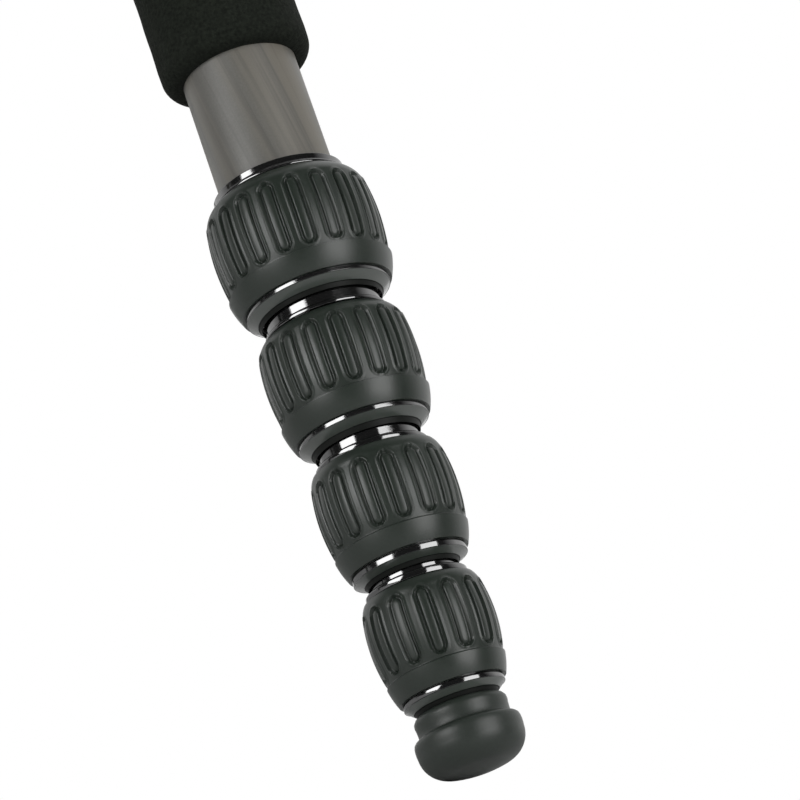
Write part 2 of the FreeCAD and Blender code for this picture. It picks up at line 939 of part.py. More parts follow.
def make_hinge_bolt():
    """One hinge bolt: a shank with a round head and a hexagon socket at each end."""
    body = new_body("hinge_bolt")
    shank = new_sketch(body, "bolt_shank", "XZ_Plane", None)
    draw_circle(shank, ZERO, ZERO, half("hinge_pin_diameter"))
    extrude(body, shank, ear_outer() * 2, both=True)
    head_face = ear_outer() + size("bolt_head_height")
    for end, name in ((1, "front"), (-1, "rear")):
        head = new_sketch(body, f"bolt_head_{name}", "XZ_Plane", ear_outer() * end)
        draw_circle(head, ZERO, ZERO, half("bolt_head_diameter"))
        extrude(body, head, size("bolt_head_height"), back=end < 0)
        socket = new_sketch(body, f"bolt_socket_{name}", "XZ_Plane", head_face * end)
        draw_hexagon(socket, half("bolt_socket_diameter"))
        extrude(body, socket, size("bolt_socket_depth"), cut=True, back=end < 0)
    return body


def draw_hexagon(sketch, radius):
    """Draw a regular hexagon about the sketch's origin."""
    corners = []
    for number in range(6):
        angle = as_size(30 + 60 * number)
        corners.append((radius * cosine(angle), radius * sine(angle)))
    draw(sketch, corners)


def column_top():
    """Height of the seat of the top plate, just above the column lock."""
    return size("hub_rise") + size("running_gap") * 2 + size("column_lock_height")


def make_column():
    """The centre column's tube."""
    outer = half("column_diameter")
    return ring("column_tube", outer - size("column_wall"), outer, -size("column_reach"), column_top())


def make_column_plug():
    """The plug that closes the column's lower end and carries the hook."""
    outer = half("column_diameter")
    bore = outer - size("column_wall")
    low = -size("column_reach")
    return turned("column_plug", [
        (ZERO, low - size("plug_flange")),
        (outer - size("neck_bevel"), low - size("plug_flange")),
        (outer, low - size("plug_flange") + size("neck_bevel")),
        (outer, low),
        (bore, low),
        (bore, low + size("plug_height")),
        (ZERO, low + size("plug_height")),
    ])


def make_hook():
    """A weight hook: a straight stem and most of a ring bent from one wire."""
    wire = half("hook_wire")
    bend = size("hook_radius")
    top = -size("column_reach") - size("plug_flange")
    stem = doc.addObject("Part::Cylinder", "hook_stem_wire")
    stem.Radius = wire.number
    stem.setExpression("Radius", wire.formula)
    stem.Height = size("hook_stem").number
    stem.setExpression("Height", size("hook_stem").formula)
    low = top - size("hook_stem")
    stem.Placement.Base.z = low.number
    stem.setExpression("Placement.Base.z", low.formula)
    loop = doc.addObject("Part::Torus", "hook_loop")
    loop.Radius1 = bend.number
    loop.setExpression("Radius1", bend.formula)
    loop.Radius2 = wire.number
    loop.setExpression("Radius2", wire.formula)
    loop.Angle3 = 300
    centre = low - bend + wire / 4
    loop.Placement = FreeCAD.Placement(
        FreeCAD.Vector(0, 0, centre.number), FreeCAD.Rotation(FreeCAD.Vector(1, 0, 0), 90)
    )
    loop.Placement = loop.Placement.multiply(
        FreeCAD.Placement(FreeCAD.Vector(), FreeCAD.Rotation(FreeCAD.Vector(0, 0, 1), 90))
    )
    loop.setExpression("Placement.Base.z", centre.formula)
    hook = doc.addObject("Part::Fuse", "column_hook_shape")
    hook.Base = stem
    hook.Tool = loop
    return hook


def make_column_lock():
    """The twist collar that clamps the column, with round flutes and rounded rims."""
    low = size("hub_rise") + size("running_gap")
    high = low + size("column_lock_height")
    outer = half("column_lock_diameter")
    thread = half("spigot_diameter") + size("thread_clearance")
    web_low = high - size("column_lock_web")
    rounding = size("column_lock_rounding")
    body = turned("column_lock", [
        (thread, low),
        (outer - rounding, low, rounding, -1),
        (outer, low + rounding),
        (outer, high - rounding, rounding, -1),
        (outer - rounding, high),
        (column_bore(), high),
        (column_bore(), web_low),
        (thread, web_low),
    ])
    flute = new_sketch(body, "column_lock_flute", "XY_Plane", low + rounding)
    centre = outer + size("column_flute_radius") - size("column_flute_sink")
    draw_circle(flute, centre, ZERO, size("column_flute_radius"))
    cut = extrude(body, flute, size("column_lock_height") - rounding * 2, cut=True, back=True)
    repeat(body, [cut], size("column_flute_count"))
    return body


def make_top_plate():
    """The column's top plate, with a spigot in the tube and a stud for the head."""
    low = column_top()
    high = low + size("top_plate_height")
    outer = half("top_plate_diameter")
    bevel = size("top_plate_bevel")
    spigot = half("column_diameter") - size("column_wall")
    stud = half("stud_diameter")
    stud_top = high + size("stud_height")
    return turned("top_plate", [
        (ZERO, low - size("top_spigot_height")),
        (spigot, low - size("top_spigot_height")),
        (spigot, low),
        (outer - bevel, low),
        (outer, low + bevel),
        (outer, high - bevel),
        (outer - bevel, high),
        (stud, high),
        (stud, stud_top - bevel),
        (stud - bevel, stud_top),
        (ZERO, stud_top),
    ])


def head_seat():
    """Height of the face that the ball head stands on."""
    return column_top() + size("top_plate_height")


def housing_low():
    return head_seat() + size("base_height") + size("running_gap")


def ball_centre():
    return housing_low() + size("ball_height")


def make_head_base():
    """The panning base, screwed on the stud, with the spindle that the housing turns on."""
    low = head_seat()
    high = low + size("base_height")
    outer = half("head_diameter")
    bevel = size("base_bevel")
    spindle = half("spindle_diameter")
    stud = half("stud_diameter")
    socket_high = low + size("stud_height")
    return turned("head_base", [
        (stud, low),
        (outer - bevel, low),
        (outer, low + bevel),
        (outer, high - bevel),
        (outer - bevel, high),
        (spindle, high),
        (spindle, high + size("spindle_height")),
        (ZERO, high + size("spindle_height")),
        (ZERO, socket_high),
        (stud, socket_high),
    ])


def make_housing():
    """The ball housing: a turned shell, a portrait notch, two bosses and the screw holes."""
    low = housing_low()
    high = low + size("housing_height")
    outer = half("head_diameter")
    top_outer = half("housing_top_diameter")
    bevel = size("housing_bevel")
    spindle = half("spindle_diameter") + size("pin_clearance")
    recess_high = low + size("spindle_height")
    cavity = half("ball_diameter") + size("ball_gap")
    centre = ball_centre()
    rise = size("ball_opening")
    mouth = root(cavity * cavity - rise * rise)
    seat_low = centre - cavity - size("seat_wall")
    body = turned("head_housing", [
        (spindle, low),
        (outer - bevel, low),
        (outer, low + bevel),
        (outer, high - size("housing_taper_height")),
        (top_outer, high - bevel),
        (top_outer - bevel, high),
        (mouth, high),
        (mouth, centre + rise, cavity, 1),
        (cavity, centre),
        (cavity, seat_low),
        (ZERO, seat_low),
        (ZERO, recess_high + size("running_gap")),
        (spindle, recess_high + size("running_gap")),
    ])
    notch = new_sketch(body, "portrait_notch", "YZ_Plane", None)
    wide = half("stem_diameter") + size("notch_clearance")
    draw(notch, [
        (-wide, high * 2),
        (-wide, centre, wide, -1),
        (ZERO, centre - wide, wide, -1),
        (wide, centre),
        (wide, high * 2),
    ])
    extrude(body, notch, outer * 2, cut=True, back=True)
    main = size("main_knob_azimuth")
    pan = size("pan_knob_azimuth")
    add_boss(body, "main_boss", main, centre, half("boss_diameter"), size("boss_reach"), cavity)
    drill(body, "main_hole", main, centre, half("main_screw_diameter"), cavity / 2)
    drill(body, "pan_hole", pan, low + size("pan_knob_rise"), half("pan_screw_diameter"), spindle / 2)
    return body


def add_boss(body, name, azimuth, height, radius, reach, start):
    """Add a round boss that stands out from the housing along a radial direction."""
    sketch = radial_sketch(body, name, azimuth, height, start + size("housing_bevel"))
    draw_circle(sketch, ZERO, ZERO, radius)
    extrude(body, sketch, reach - start - size("housing_bevel"))


def drill(body, name, azimuth, height, radius, start):
    """Drill a radial hole from outside down to a distance from the upright axis."""
    sketch = radial_sketch(body, name, azimuth, height, start)
    draw_circle(sketch, ZERO, ZERO, radius + size("thread_clearance"))
    extrude(body, sketch, size("head_diameter"), cut=True, back=True)


def make_ball_seat():
    """The cup under the ball that carries its load."""
    cavity = half("ball_diameter") + size("ball_gap")
    centre = ball_centre()
    low = centre - cavity - size("seat_wall")
    high = low + size("seat_height")
    outer = cavity - size("running_gap")
    bore = half("seat_bore")
    touch = half("ball_diameter") + size("pin_clearance")
    drop = centre - high
    lip = root(touch * touch - drop * drop)
    bottom = root(touch * touch - bore * bore)
    return turned("ball_seat", [
        (bore, low),
        (outer, low),
        (outer, high),
        (lip, high, touch, 1),
        (bore, centre - bottom),
    ])


def make_ball():
    """The ball, cut flat on top, with the pin that the stem turns on."""
    radius = half("ball_diameter")
    centre = ball_centre()
    flat = size("ball_flat")
    rim = root(radius * radius - flat * flat)
    pin = half("ball_pin_diameter")
    top = centre + flat
    return turned("head_ball", [
        (ZERO, centre - radius, radius, -1),
        (radius, centre, radius, -1),
        (rim, top),
        (pin, top),
        (pin, top + size("ball_pin_height")),
        (ZERO, top + size("ball_pin_height")),
    ])


def stem_low():
    return ball_centre() + size("ball_flat") + size("running_gap")


def clamp_low():
    """Height of the underside of the quick-release clamp."""
    return stem_low() + size("stem_height") + size("stem_flange_height")


def make_stem():
    """The stem between ball and clamp, flared into a flange."""
    low = stem_low()
    high = clamp_low()
    neck = half("stem_diameter")
    flange = half("stem_flange_diameter")
    pin = half("ball_pin_diameter") + size("pin_clearance")
    socket_high = low + size("ball_pin_height")
    flange_low = high - size("stem_flange_height")
    return turned("head_stem", [
        (pin, low),
        (neck, low),
        (neck, flange_low - size("stem_flange_height")),
        (flange, flange_low),
        (flange, high),
        (ZERO, high),
        (ZERO, socket_high),
        (pin, socket_high),
    ])


def knob_outline(radius, length, screw_radius, screw_length, bevel):
    """Half outline of a knob that stands on its screw, with the screw pointing down."""
    return [
        (ZERO, -screw_length),
        (screw_radius, -screw_length),
        (screw_radius, ZERO),
        (radius - bevel * 2, ZERO),
        (radius, bevel * 2),
        (radius, length - bevel),
        (radius - bevel, length),
        (ZERO, length),
    ]


def make_knob(name):
    """A fluted knob with its screw, standing on the XY plane."""
    radius = half(f"{name}_diameter")
    length = size(f"{name}_length")
    prefix = name.split("_")[0]
    screw = half(f"{prefix}_screw_diameter")
    depth = knob_screw_depth(name)
    body = turned(name, knob_outline(radius, length, screw, depth, size("knob_bevel")))
    flute = new_sketch(body, name + "_flute", "XY_Plane", size("knob_bevel") * 3)
    centre = radius + size("knob_flute_radius") - size("knob_flute_sink")
    draw_circle(flute, centre, ZERO, size("knob_flute_radius"))
    cut = extrude(body, flute, cut=True, back=True)
    repeat(body, [cut], size(f"{name}_flutes"))
    return body


def knob_screw_depth(name):
    """How far a knob's screw reaches in front of the knob's face."""
    if name == "clamp_knob":
        return size("clamp_screw_depth") + size("jaw_width") + size("knob_gap")
    return size(f"{name.split('_')[0]}_screw_length") + size("knob_gap")


def make_main_knob():
    """The main locking knob, with a recess for the friction dial in its outer face."""
    body = make_knob("main_knob")
    length = size("main_knob_length")
    recess = new_sketch(body, "dial_recess_outline", "XY_Plane", length)
    draw_circle(recess, ZERO, ZERO, half("dial_diameter") + size("running_gap"))
    extrude(body, recess, size("dial_recess"), cut=True)
    pin_hole = new_sketch(body, "dial_pin_hole", "XY_Plane", length)
    draw_circle(pin_hole, ZERO, ZERO, half("dial_pin_diameter") + size("pin_clearance"))
    deep = size("dial_recess") + size("dial_pin_length") + size("running_gap")
    extrude(body, pin_hole, deep, cut=True)
    return body


def make_dial():
    """The friction dial that turns in the main knob's face."""
    low = size("main_knob_length") - size("dial_recess") + size("running_gap")
    outer = half("dial_diameter")
    pin = half("dial_pin_diameter")
    bevel = size("knob_bevel") / 2
    return turned("friction_dial", [
        (ZERO, low - size("dial_pin_length")),
        (pin, low - size("dial_pin_length")),
        (pin, low),
        (outer, low),
        (outer, low + size("dial_height") - bevel),
        (outer - bevel, low + size("dial_height")),
        (ZERO, low + size("dial_height")),
    ])


def clamp_floor_high():
    return clamp_low() + size("clamp_floor")


def dovetail_low():
    """Height of the plate's underside, just above the clamp's floor."""
    return clamp_floor_high() + size("dovetail_gap")


def jaw_outline(side):
    """Section of the jaw on one side (1 or -1), with the raked face that grips the dovetail."""
    wall = half("dovetail_width")
    foot = wall + size("dovetail_gap")
    outer = wall + size("jaw_width")
    rake = size("dovetail_rake")
    low = clamp_floor_high()
    high = low + size("jaw_height")
    undercut = dovetail_low() + size("dovetail_height")
    return [
        (foot * side, low),
        (outer * side, low),
        (outer * side, high),
        ((foot - rake) * side, high),
        ((foot - rake) * side, undercut),
        (foot * side, undercut - rake),
    ]


def make_clamp_body():
    """The clamp's base with its fixed jaw and the ear that holds the bubble level."""
    low = clamp_low()
    high = clamp_floor_high()
    wall = half("dovetail_width")
    outer = wall + size("jaw_width")
    body = new_body("clamp_body")
    floor = new_sketch(body, "clamp_floor_side", "YZ_Plane", None)
    draw(floor, rectangle(-outer, wall - size("jaw_gap") / 2, low, high))
    extrude(body, floor, size("clamp_length"), both=True)
    jaw = new_sketch(body, "clamp_fixed_jaw", "YZ_Plane", None)
    draw(jaw, jaw_outline(-1))
    extrude(body, jaw, size("clamp_length"), both=True)
    ear = new_sketch(body, "level_ear", "XY_Plane", low)
    draw_circle(ear, ZERO, level_centre(), half("level_boss_diameter"))
    extrude(body, ear, level_high() - low)
    cup = new_sketch(body, "level_cup", "XY_Plane", level_high())
    draw_circle(cup, ZERO, level_centre(), half("level_diameter"))
    extrude(body, cup, size("level_height"), cut=True)
    hole = new_sketch(body, "clamp_screw_hole", "XZ_Plane", None)
    draw_circle(hole, ZERO, clamp_screw_height(), half("clamp_screw_diameter") + size("thread_clearance"))
    extrude(body, hole, wall * 2, cut=True)
    return body


def clamp_screw_height():
    return clamp_low() + size("clamp_floor") / 2


def level_centre():
    """Where the level's centre lies across the clamp, behind the fixed jaw."""
    outer = half("dovetail_width") + size("jaw_width")
    return size("knob_bevel") - outer - half("level_boss_diameter")


def level_high():
    return clamp_floor_high() + size("level_height") / 2


def make_level():
    """The bubble level's vial."""
    body = new_body("bubble_level")
    sketch = new_sketch(body, "level_vial", "XY_Plane", level_high() - size("level_height"))
    draw_circle(sketch, ZERO, level_centre(), half("level_diameter"))
    extrude(body, sketch, size("level_height"))
    return body


def make_jaw():
    """The moving jaw, with the foot that the clamp knob's screw passes through."""
    wall = half("dovetail_width")
    body = new_body("clamp_jaw")
    grip = new_sketch(body, "moving_jaw_side", "YZ_Plane", None)
    draw(grip, jaw_outline(1))
    extrude(body, grip, size("clamp_length"), both=True)
    foot = new_sketch(body, "moving_jaw_foot", "YZ_Plane", None)
    inner = wall + size("jaw_gap") / 2
    foot_high = clamp_floor_high() + size("jaw_height") / 2
    draw(foot, rectangle(inner, wall + size("jaw_width"), clamp_low(), foot_high))
    extrude(body, foot, size("clamp_length"), both=True)
    hole = new_sketch(body, "moving_jaw_hole", "XZ_Plane", None)
    draw_circle(hole, ZERO, clamp_screw_height(), half("clamp_screw_diameter") + size("thread_clearance"))
    extrude(body, hole, wall * 4, cut=True)
    return body


def make_plate():
    """The quick-release plate: a dovetail, a broader top and a recess for the screw's head."""
    low = dovetail_low()
    neck_high = low + size("dovetail_height")
    rake = size("dovetail_rake")
    wall = half("dovetail_width")
    high = neck_high + size("plate_top_height")
    top = half("plate_top_width")
    body = new_body("release_plate")
    section = new_sketch(body, "plate_section", "YZ_Plane", None)
    draw(section, [
        (-wall, low),
        (wall, low),
        (wall, neck_high - rake),
        (wall - rake, neck_high),
        (wall - rake, plate_shelf()),
        (top, plate_shelf()),
        (top, high),
        (-top, high),
        (-top, plate_shelf()),
        (rake - wall, plate_shelf()),
        (rake - wall, neck_high),
        (-wall, neck_high - rake),
    ])
    extrude(body, section, size("plate_length"), both=True)
    recess = new_sketch(body, "plate_recess", "XY_Plane", low)
    draw_circle(recess, ZERO, ZERO, half("screw_head_diameter") + size("screw_gap"))
    extrude(body, recess, size("screw_head_height") + size("screw_gap") * 2, cut=True, back=True)
    hole = new_sketch(body, "plate_hole", "XY_Plane", low)
    draw_circle(hole, ZERO, ZERO, half("camera_screw_diameter") + size("screw_gap"))
    extrude(body, hole, cut=True, back=True)
    return body


def plate_shelf():
    """Height of the underside of the plate's broad top, above the jaws."""
    return clamp_floor_high() + size("jaw_height") + size("dovetail_gap")


def plate_high():
    return dovetail_low() + size("dovetail_height") + size("plate_top_height")


def make_pads():
    """The two rubber pads on the plate, one on each side of the screw."""
    body = new_body("plate_pads")
    sketch = new_sketch(body, "pad_outlines", "XY_Plane", plate_high())
    across = half("plate_top_width") - size("plate_pad_inset")
    near = half("plate_pad_slot")
    far = half("plate_length") - size("plate_pad_inset")
    draw(sketch, rectangle(near, far, -across, across))
    extrude(body, sketch, size("plate_pad_height"))
    mirror = new_body("plate_pad_rear")
    sketch = new_sketch(mirror, "pad_outline_rear", "XY_Plane", plate_high())
    draw(sketch, rectangle(-far, -near, -across, across))
    extrude(mirror, sketch, size("plate_pad_height"))
    return [body, mirror]


def make_camera_screw():
    """The captive camera screw: a coin slot in its head and a neck that runs free in the plate."""
    low = dovetail_low() + size("screw_gap")
    head_high = low + size("screw_head_height")
    head = half("screw_head_diameter")
    thread = half("camera_screw_diameter")
    neck = half("camera_neck_diameter")
    thread_low = plate_high() + size("plate_pad_height") + size("camera_neck_rise")
    top = plate_high() + size("camera_screw_rise")
    bevel = size("neck_bevel") * 2
    body = turned("camera_screw", [
        (ZERO, low),
        (head, low),
        (head, head_high),
        (neck, head_high),
        (neck, thread_low),
        (thread, thread_low),
        (thread, top - bevel),
        (thread - bevel, top),
        (ZERO, top),
    ])
    slot = new_sketch(body, "coin_slot", "XY_Plane", low)
    draw(slot, rectangle(-head * 2, head * 2, -half("screw_slot_width"), half("screw_slot_width")))
    extrude(body, slot, size("screw_slot_depth"), cut=True, back=True)
    return body


# Assembly.

def leg_placement(number):
    """Where a leg stands: tilted outward by the splay, then turned about the column."""
    azimuth = size("first_leg_azimuth").number + 360 / len(LEGS) * number
    turn = FreeCAD.Rotation(FreeCAD.Vector(0, 0, 1), azimuth)
    tilt = FreeCAD.Rotation(FreeCAD.Vector(0, 1, 0), -size("leg_splay").number)
    base = turn.multVec(FreeCAD.Vector(size("hinge_radius").number, 0, 0))
    base.z = hinge_height().number
    return FreeCAD.Placement(base, turn.multiply(tilt))


def bolt_placement(number):
    """Where a hinge bolt lies: across its yoke, level."""
    azimuth = size("first_leg_azimuth").number + 360 / len(LEGS) * number
    turn = FreeCAD.Rotation(FreeCAD.Vector(0, 0, 1), azimuth)
    return FreeCAD.Placement(turn.multVec(FreeCAD.Vector(size("hinge_radius").number, 0, 0)), turn)


def knob_placement(azimuth, start, height):
    """Where a radial knob stands: on its face, with its axis pointing outward."""
    turn = FreeCAD.Rotation(FreeCAD.Vector(0, 0, 1), azimuth.number)
    lay = FreeCAD.Rotation(FreeCAD.Vector(0, 1, 0), 90)
    base = turn.multVec(FreeCAD.Vector(start.number, 0, 0))
    base.z = height.number
    return FreeCAD.Placement(base, turn.multiply(lay))


def build_legs():
    """Draw the pieces of one leg and set them in the assembly three times."""
    tubes = {section: make_tube(section) for section in (*LOCKS, 5)}
    bushes = {lock: make_bush(lock) for lock in LOCKS}
    locks = {lock: [make_nut(lock), make_collet(lock), make_sleeve(lock)] for lock in LOCKS}
    lug = make_lug()
    latch = make_latch()
    foam = make_foam()
    foot = make_foot()
    for number, letter in enumerate(LEGS):
        there = leg_placement(number)
        prefix = f"leg_{letter}"
        place(f"{prefix}_hinge_lug", [lug], there)
        place(f"{prefix}_angle_latch", [latch], there)
        place(f"{prefix}_foam_grip", [foam], there)
        for lock in LOCKS:
            place(f"{prefix}_tube_{lock}", [tubes[lock], bushes[lock]], there)
            place(f"{prefix}_lock_{lock}", locks[lock], there)
        place(f"{prefix}_tube_5", [tubes[5]], there)
        place(f"{prefix}_rubber_foot", [foot], there)


def build_centre():
    """Draw what the legs carry, from the hub up to the camera screw."""
    raised = FreeCAD.Placement(FreeCAD.Vector(0, 0, hinge_height().number), FreeCAD.Rotation())
    aligned = FreeCAD.Placement(
        raised.Base, FreeCAD.Rotation(FreeCAD.Vector(0, 0, 1), size("first_leg_azimuth").number)
    )
    place("apex", [make_apex()], aligned)
    bolt = make_hinge_bolt()
    bolts = []
    for number in range(len(LEGS)):
        copy = doc.addObject("Part::Compound", f"hinge_bolt_{number + 1}")
        copy.Links = [bolt]
        copy.Placement = bolt_placement(number)
        bolts.append(copy)
    place("hinge_bolts", bolts, raised)
    place("column_tube", [make_column(), make_column_plug()], raised)
    place("column_hook", [make_hook()], raised)
    place("column_lock", [make_column_lock()], raised)
    place("column_top_plate", [make_top_plate()], raised)
    place("head_base", [make_head_base()], raised)
    place("head_body", [make_housing()], raised)
    place("ball_seat", [make_ball_seat()], raised)
    place("head_ball", [make_ball()], raised)
    place("head_stem", [make_stem()], raised)
    build_knobs(raised)
    place("clamp_body", [make_clamp_body()], raised)
    place("bubble_level", [make_level()], raised)
    place("clamp_jaw", [make_jaw()], raised)
    place("quick_release_plate", [make_plate()], raised)
    place("plate_pads", make_pads(), raised)
    place("camera_screw", [make_camera_screw()], raised)


def build_knobs(raised):
    """Set the three knobs and the friction dial in the assembly."""
    main = knob_placement(
        size("main_knob_azimuth"), size("boss_reach") + size("knob_gap"), ball_centre()
    )
    place("main_knob", [make_main_knob()], raised.multiply(main))
    place("friction_dial", [make_dial()], raised.multiply(main))
    pan = knob_placement(
        size("pan_knob_azimuth"),
        half("head_diameter") + size("knob_gap"),
        housing_low() + size("pan_knob_rise"),
    )
    place("pan_knob", [make_knob("pan_knob")], raised.multiply(pan))
    start = half("dovetail_width") + size("jaw_width") + size("knob_gap")
    side = knob_placement(as_size(90), start, clamp_screw_height())
    place("clamp_knob", [make_knob("clamp_knob")], raised.multiply(side))


def check_and_write():
    """Stop at the first failed object, then write every sub-part to its own file."""
    doc.recompute()
    failed = [item.Name for item in doc.Objects if {"Invalid", "Error"} & set(item.State)]
    if failed:
        raise RuntimeError("did not compute: " + ", ".join(failed))
    for item in subparts:
        if item.Shape.isNull() or not item.Shape.isValid():
            raise RuntimeError(f"{item.Label} has no valid shape")
    os.makedirs("parts", exist_ok=True)
    for item in subparts:
        item.Shape.exportStep(f"parts/{item.Label}.step")
        solids = item.Shape.Solids
        print(item.Label, len(solids), "solids", round(sum(solid.Volume for solid in solids), 1), "mm3")
    print(len(subparts), "sub-parts, hinge pins", round(hinge_height().number, 3), "mm above the ground")


fill_sheet()
build_legs()
build_centre()
check_and_write()
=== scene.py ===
# %% [markdown]
# # A travel tripod with a ball head
#
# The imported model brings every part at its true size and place, in metres. This script dresses
# it: the parts that the photograph shows from close by are modelled afresh, with softer and
# finer forms, and every other part keeps its mesh and gets a material.

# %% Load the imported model
import json
import math

import bmesh
import bpy
from mathutils import Matrix, Vector


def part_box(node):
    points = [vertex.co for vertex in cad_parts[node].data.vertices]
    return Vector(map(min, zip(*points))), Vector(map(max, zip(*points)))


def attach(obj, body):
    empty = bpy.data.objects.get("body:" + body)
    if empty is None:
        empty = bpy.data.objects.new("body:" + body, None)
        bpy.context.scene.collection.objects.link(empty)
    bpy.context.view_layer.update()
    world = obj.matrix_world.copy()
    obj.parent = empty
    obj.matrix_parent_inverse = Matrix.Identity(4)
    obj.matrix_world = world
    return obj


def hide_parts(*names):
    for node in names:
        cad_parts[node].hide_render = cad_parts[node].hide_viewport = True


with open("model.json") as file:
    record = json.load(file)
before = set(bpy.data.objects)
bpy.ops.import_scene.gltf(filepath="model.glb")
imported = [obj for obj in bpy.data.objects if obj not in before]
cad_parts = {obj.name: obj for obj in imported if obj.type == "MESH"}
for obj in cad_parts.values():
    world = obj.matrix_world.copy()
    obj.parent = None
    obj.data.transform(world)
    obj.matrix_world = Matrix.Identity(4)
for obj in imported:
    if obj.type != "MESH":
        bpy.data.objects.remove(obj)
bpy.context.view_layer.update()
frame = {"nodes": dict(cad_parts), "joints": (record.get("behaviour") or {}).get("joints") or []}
MM = 0.001
LEGS = ("a", "b", "c")
print("packed parts:", len(frame["nodes"]))

# %% [markdown]
# ## Where the legs stand
#
# Each leg tilts outward from its hinge. A piece of a leg is easiest to model upright, with the
# hinge at the origin and the foot down -Z, so this cell makes the matrix that carries such a
# piece to its leg. The hinge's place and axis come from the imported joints, and so does the
# direction in which the sections slide.

# %% Leg matrices
joints = {joint["name"]: joint for joint in frame["joints"]}


def leg_matrix(letter):
    """The matrix from a leg's own upright space to its place on the tripod."""
    hinge = joints[f"leg_{letter}_splay"]
    down = Vector(joints[f"leg_{letter}_section_2_slide"]["axis"]).normalized()
    side = -Vector(hinge["axis"]).normalized()
    out = side.cross(-down).normalized()
    turn = Matrix((out, side, -down)).transposed().to_4x4()
    return Matrix.Translation(Vector(hinge["pos_m"])) @ turn


LEG_SPACE = {letter: leg_matrix(letter) for letter in LEGS}
print("leg a points down along", [round(v, 4) for v in -LEG_SPACE["a"].col[2].xyz])

# %% [markdown]
# ## The camera
#
# The photograph was taken from beside the foot, with a long lens, looking slightly up at the
# leg. Its place was worked out from the round rims of the twist locks: the ellipse that a rim
# shows gives the leg's tilt to the line of sight, and their sizes give the distance.

# %% Camera
# The lens's focal length and the frame's width are in pixels of the photograph. The mark is a
# spot on the leg's axis, at a reach in millimetres below the hinge. It lies so many pixels right
# of the frame's centre and below it, and so many millimetres in front of the camera.
LENS_PIXELS = 2621
FRAME_PIXELS = 800
LOOK_UP = math.radians(8.4)
LOOK_AZIMUTH = math.radians(0.68)
MARK_REACH = 315.5
MARK_RIGHT, MARK_DOWN, MARK_DEPTH = -53.1, -15.8, 537.6

right = Vector((math.cos(LOOK_AZIMUTH), math.sin(LOOK_AZIMUTH), 0))
level = Vector((-math.sin(LOOK_AZIMUTH), math.cos(LOOK_AZIMUTH), 0))
forward = level * math.cos(LOOK_UP) + Vector((0, 0, math.sin(LOOK_UP)))
upward = right.cross(forward)
mark = LEG_SPACE["a"] @ Vector((0, 0, -MARK_REACH * MM))
offset = right * MARK_RIGHT - upward * MARK_DOWN
place = mark - (offset / LENS_PIXELS + forward) * MARK_DEPTH * MM

lens = bpy.data.cameras.new("photo_camera")
lens.sensor_width = 36
lens.lens = LENS_PIXELS / FRAME_PIXELS * lens.sensor_width
lens.clip_start = 0.01
lens.clip_end = 50
camera = bpy.data.objects.new("photo_camera", lens)
bpy.context.scene.collection.objects.link(camera)
aim = Matrix((right, upward, -forward)).transposed().to_4x4()
camera.matrix_world = Matrix.Translation(place) @ aim
bpy.context.scene.camera = camera
print("camera at", [round(v, 4) for v in place])

# %% [markdown]
# ## Tools for turned parts
#
# Most pieces of a leg are turned: tubes, bushes, nuts and feet. By hand, such a piece starts as
# a circle. Its rim is extruded, moved up or down and scaled, once for each corner of the
# outline, and at the end the last rim is bridged to the first. The helper below does just that.
# A small bevel on the corners then catches the light as a real edge does.

# %% Helper: turn an outline into a closed ring
# Corners of more than BEVEL_ANGLE degrees are bevelled, and those of less than SMOOTH_ANGLE are
# shaded smooth.
ROUND = 128
BEVEL_ANGLE, SMOOTH_ANGLE = 28, 32


def clear_selection():
    """Leave edit mode and select nothing."""
    if bpy.context.object and bpy.context.object.mode != "OBJECT":
        bpy.ops.object.mode_set(mode="OBJECT")
    bpy.ops.object.select_all(action="DESELECT")


def activate(piece):
    """Select one piece alone and make it the active one."""
    clear_selection()
    piece.select_set(True)
    bpy.context.view_layer.objects.active = piece


def turned(name, outline, steps=ROUND, bevel=0.0, segments=2, closed=True):
    """A piece turned about Z from (radius, height) corners in millimetres.

    A closed outline runs round a ring's section. An open one starts and ends on the axis.
    """
    clear_selection()
    radius, height = outline[0]
    bpy.ops.mesh.primitive_circle_add(
        vertices=steps, radius=radius * MM, location=(0, 0, height * MM),
    )
    piece = bpy.context.object
    piece.name = name
    bpy.ops.object.transform_apply(location=True, rotation=True, scale=True)
    bpy.ops.object.mode_set(mode="EDIT")
    bpy.ops.mesh.select_all(action="SELECT")
    if not closed:
        bpy.ops.mesh.edge_face_add()
    for (r0, z0), (r1, z1) in zip(outline, outline[1:]):
        bpy.ops.mesh.extrude_edges_move(TRANSFORM_OT_translate={"value": (0, 0, (z1 - z0) * MM)})
        factor = r1 / r0
        bpy.ops.transform.resize(value=(factor, factor, 1), center_override=(0, 0, z1 * MM))
    if closed:
        bpy.ops.mesh.select_all(action="DESELECT")
        bpy.ops.mesh.select_non_manifold()
        bpy.ops.mesh.bridge_edge_loops()
    else:
        bpy.ops.mesh.edge_face_add()
    bpy.ops.mesh.select_all(action="SELECT")
    bpy.ops.mesh.normals_make_consistent(inside=False)
    bpy.ops.object.mode_set(mode="OBJECT")
    if bevel:
        soften(piece, bevel, segments)
    bpy.ops.object.shade_smooth_by_angle(angle=math.radians(SMOOTH_ANGLE))
    if bevel:
        weigh_normals(piece)
    return piece


def soften(piece, width, segments):
    """Bevel the piece's corners by a width in millimetres, and keep the result."""
    activate(piece)
    rounding = piece.modifiers.new("rounding", "BEVEL")
    rounding.width = width * MM
    rounding.segments = segments
    rounding.limit_method = "ANGLE"
    rounding.angle_limit = math.radians(BEVEL_ANGLE)
    bpy.ops.object.modifier_apply(modifier="rounding")


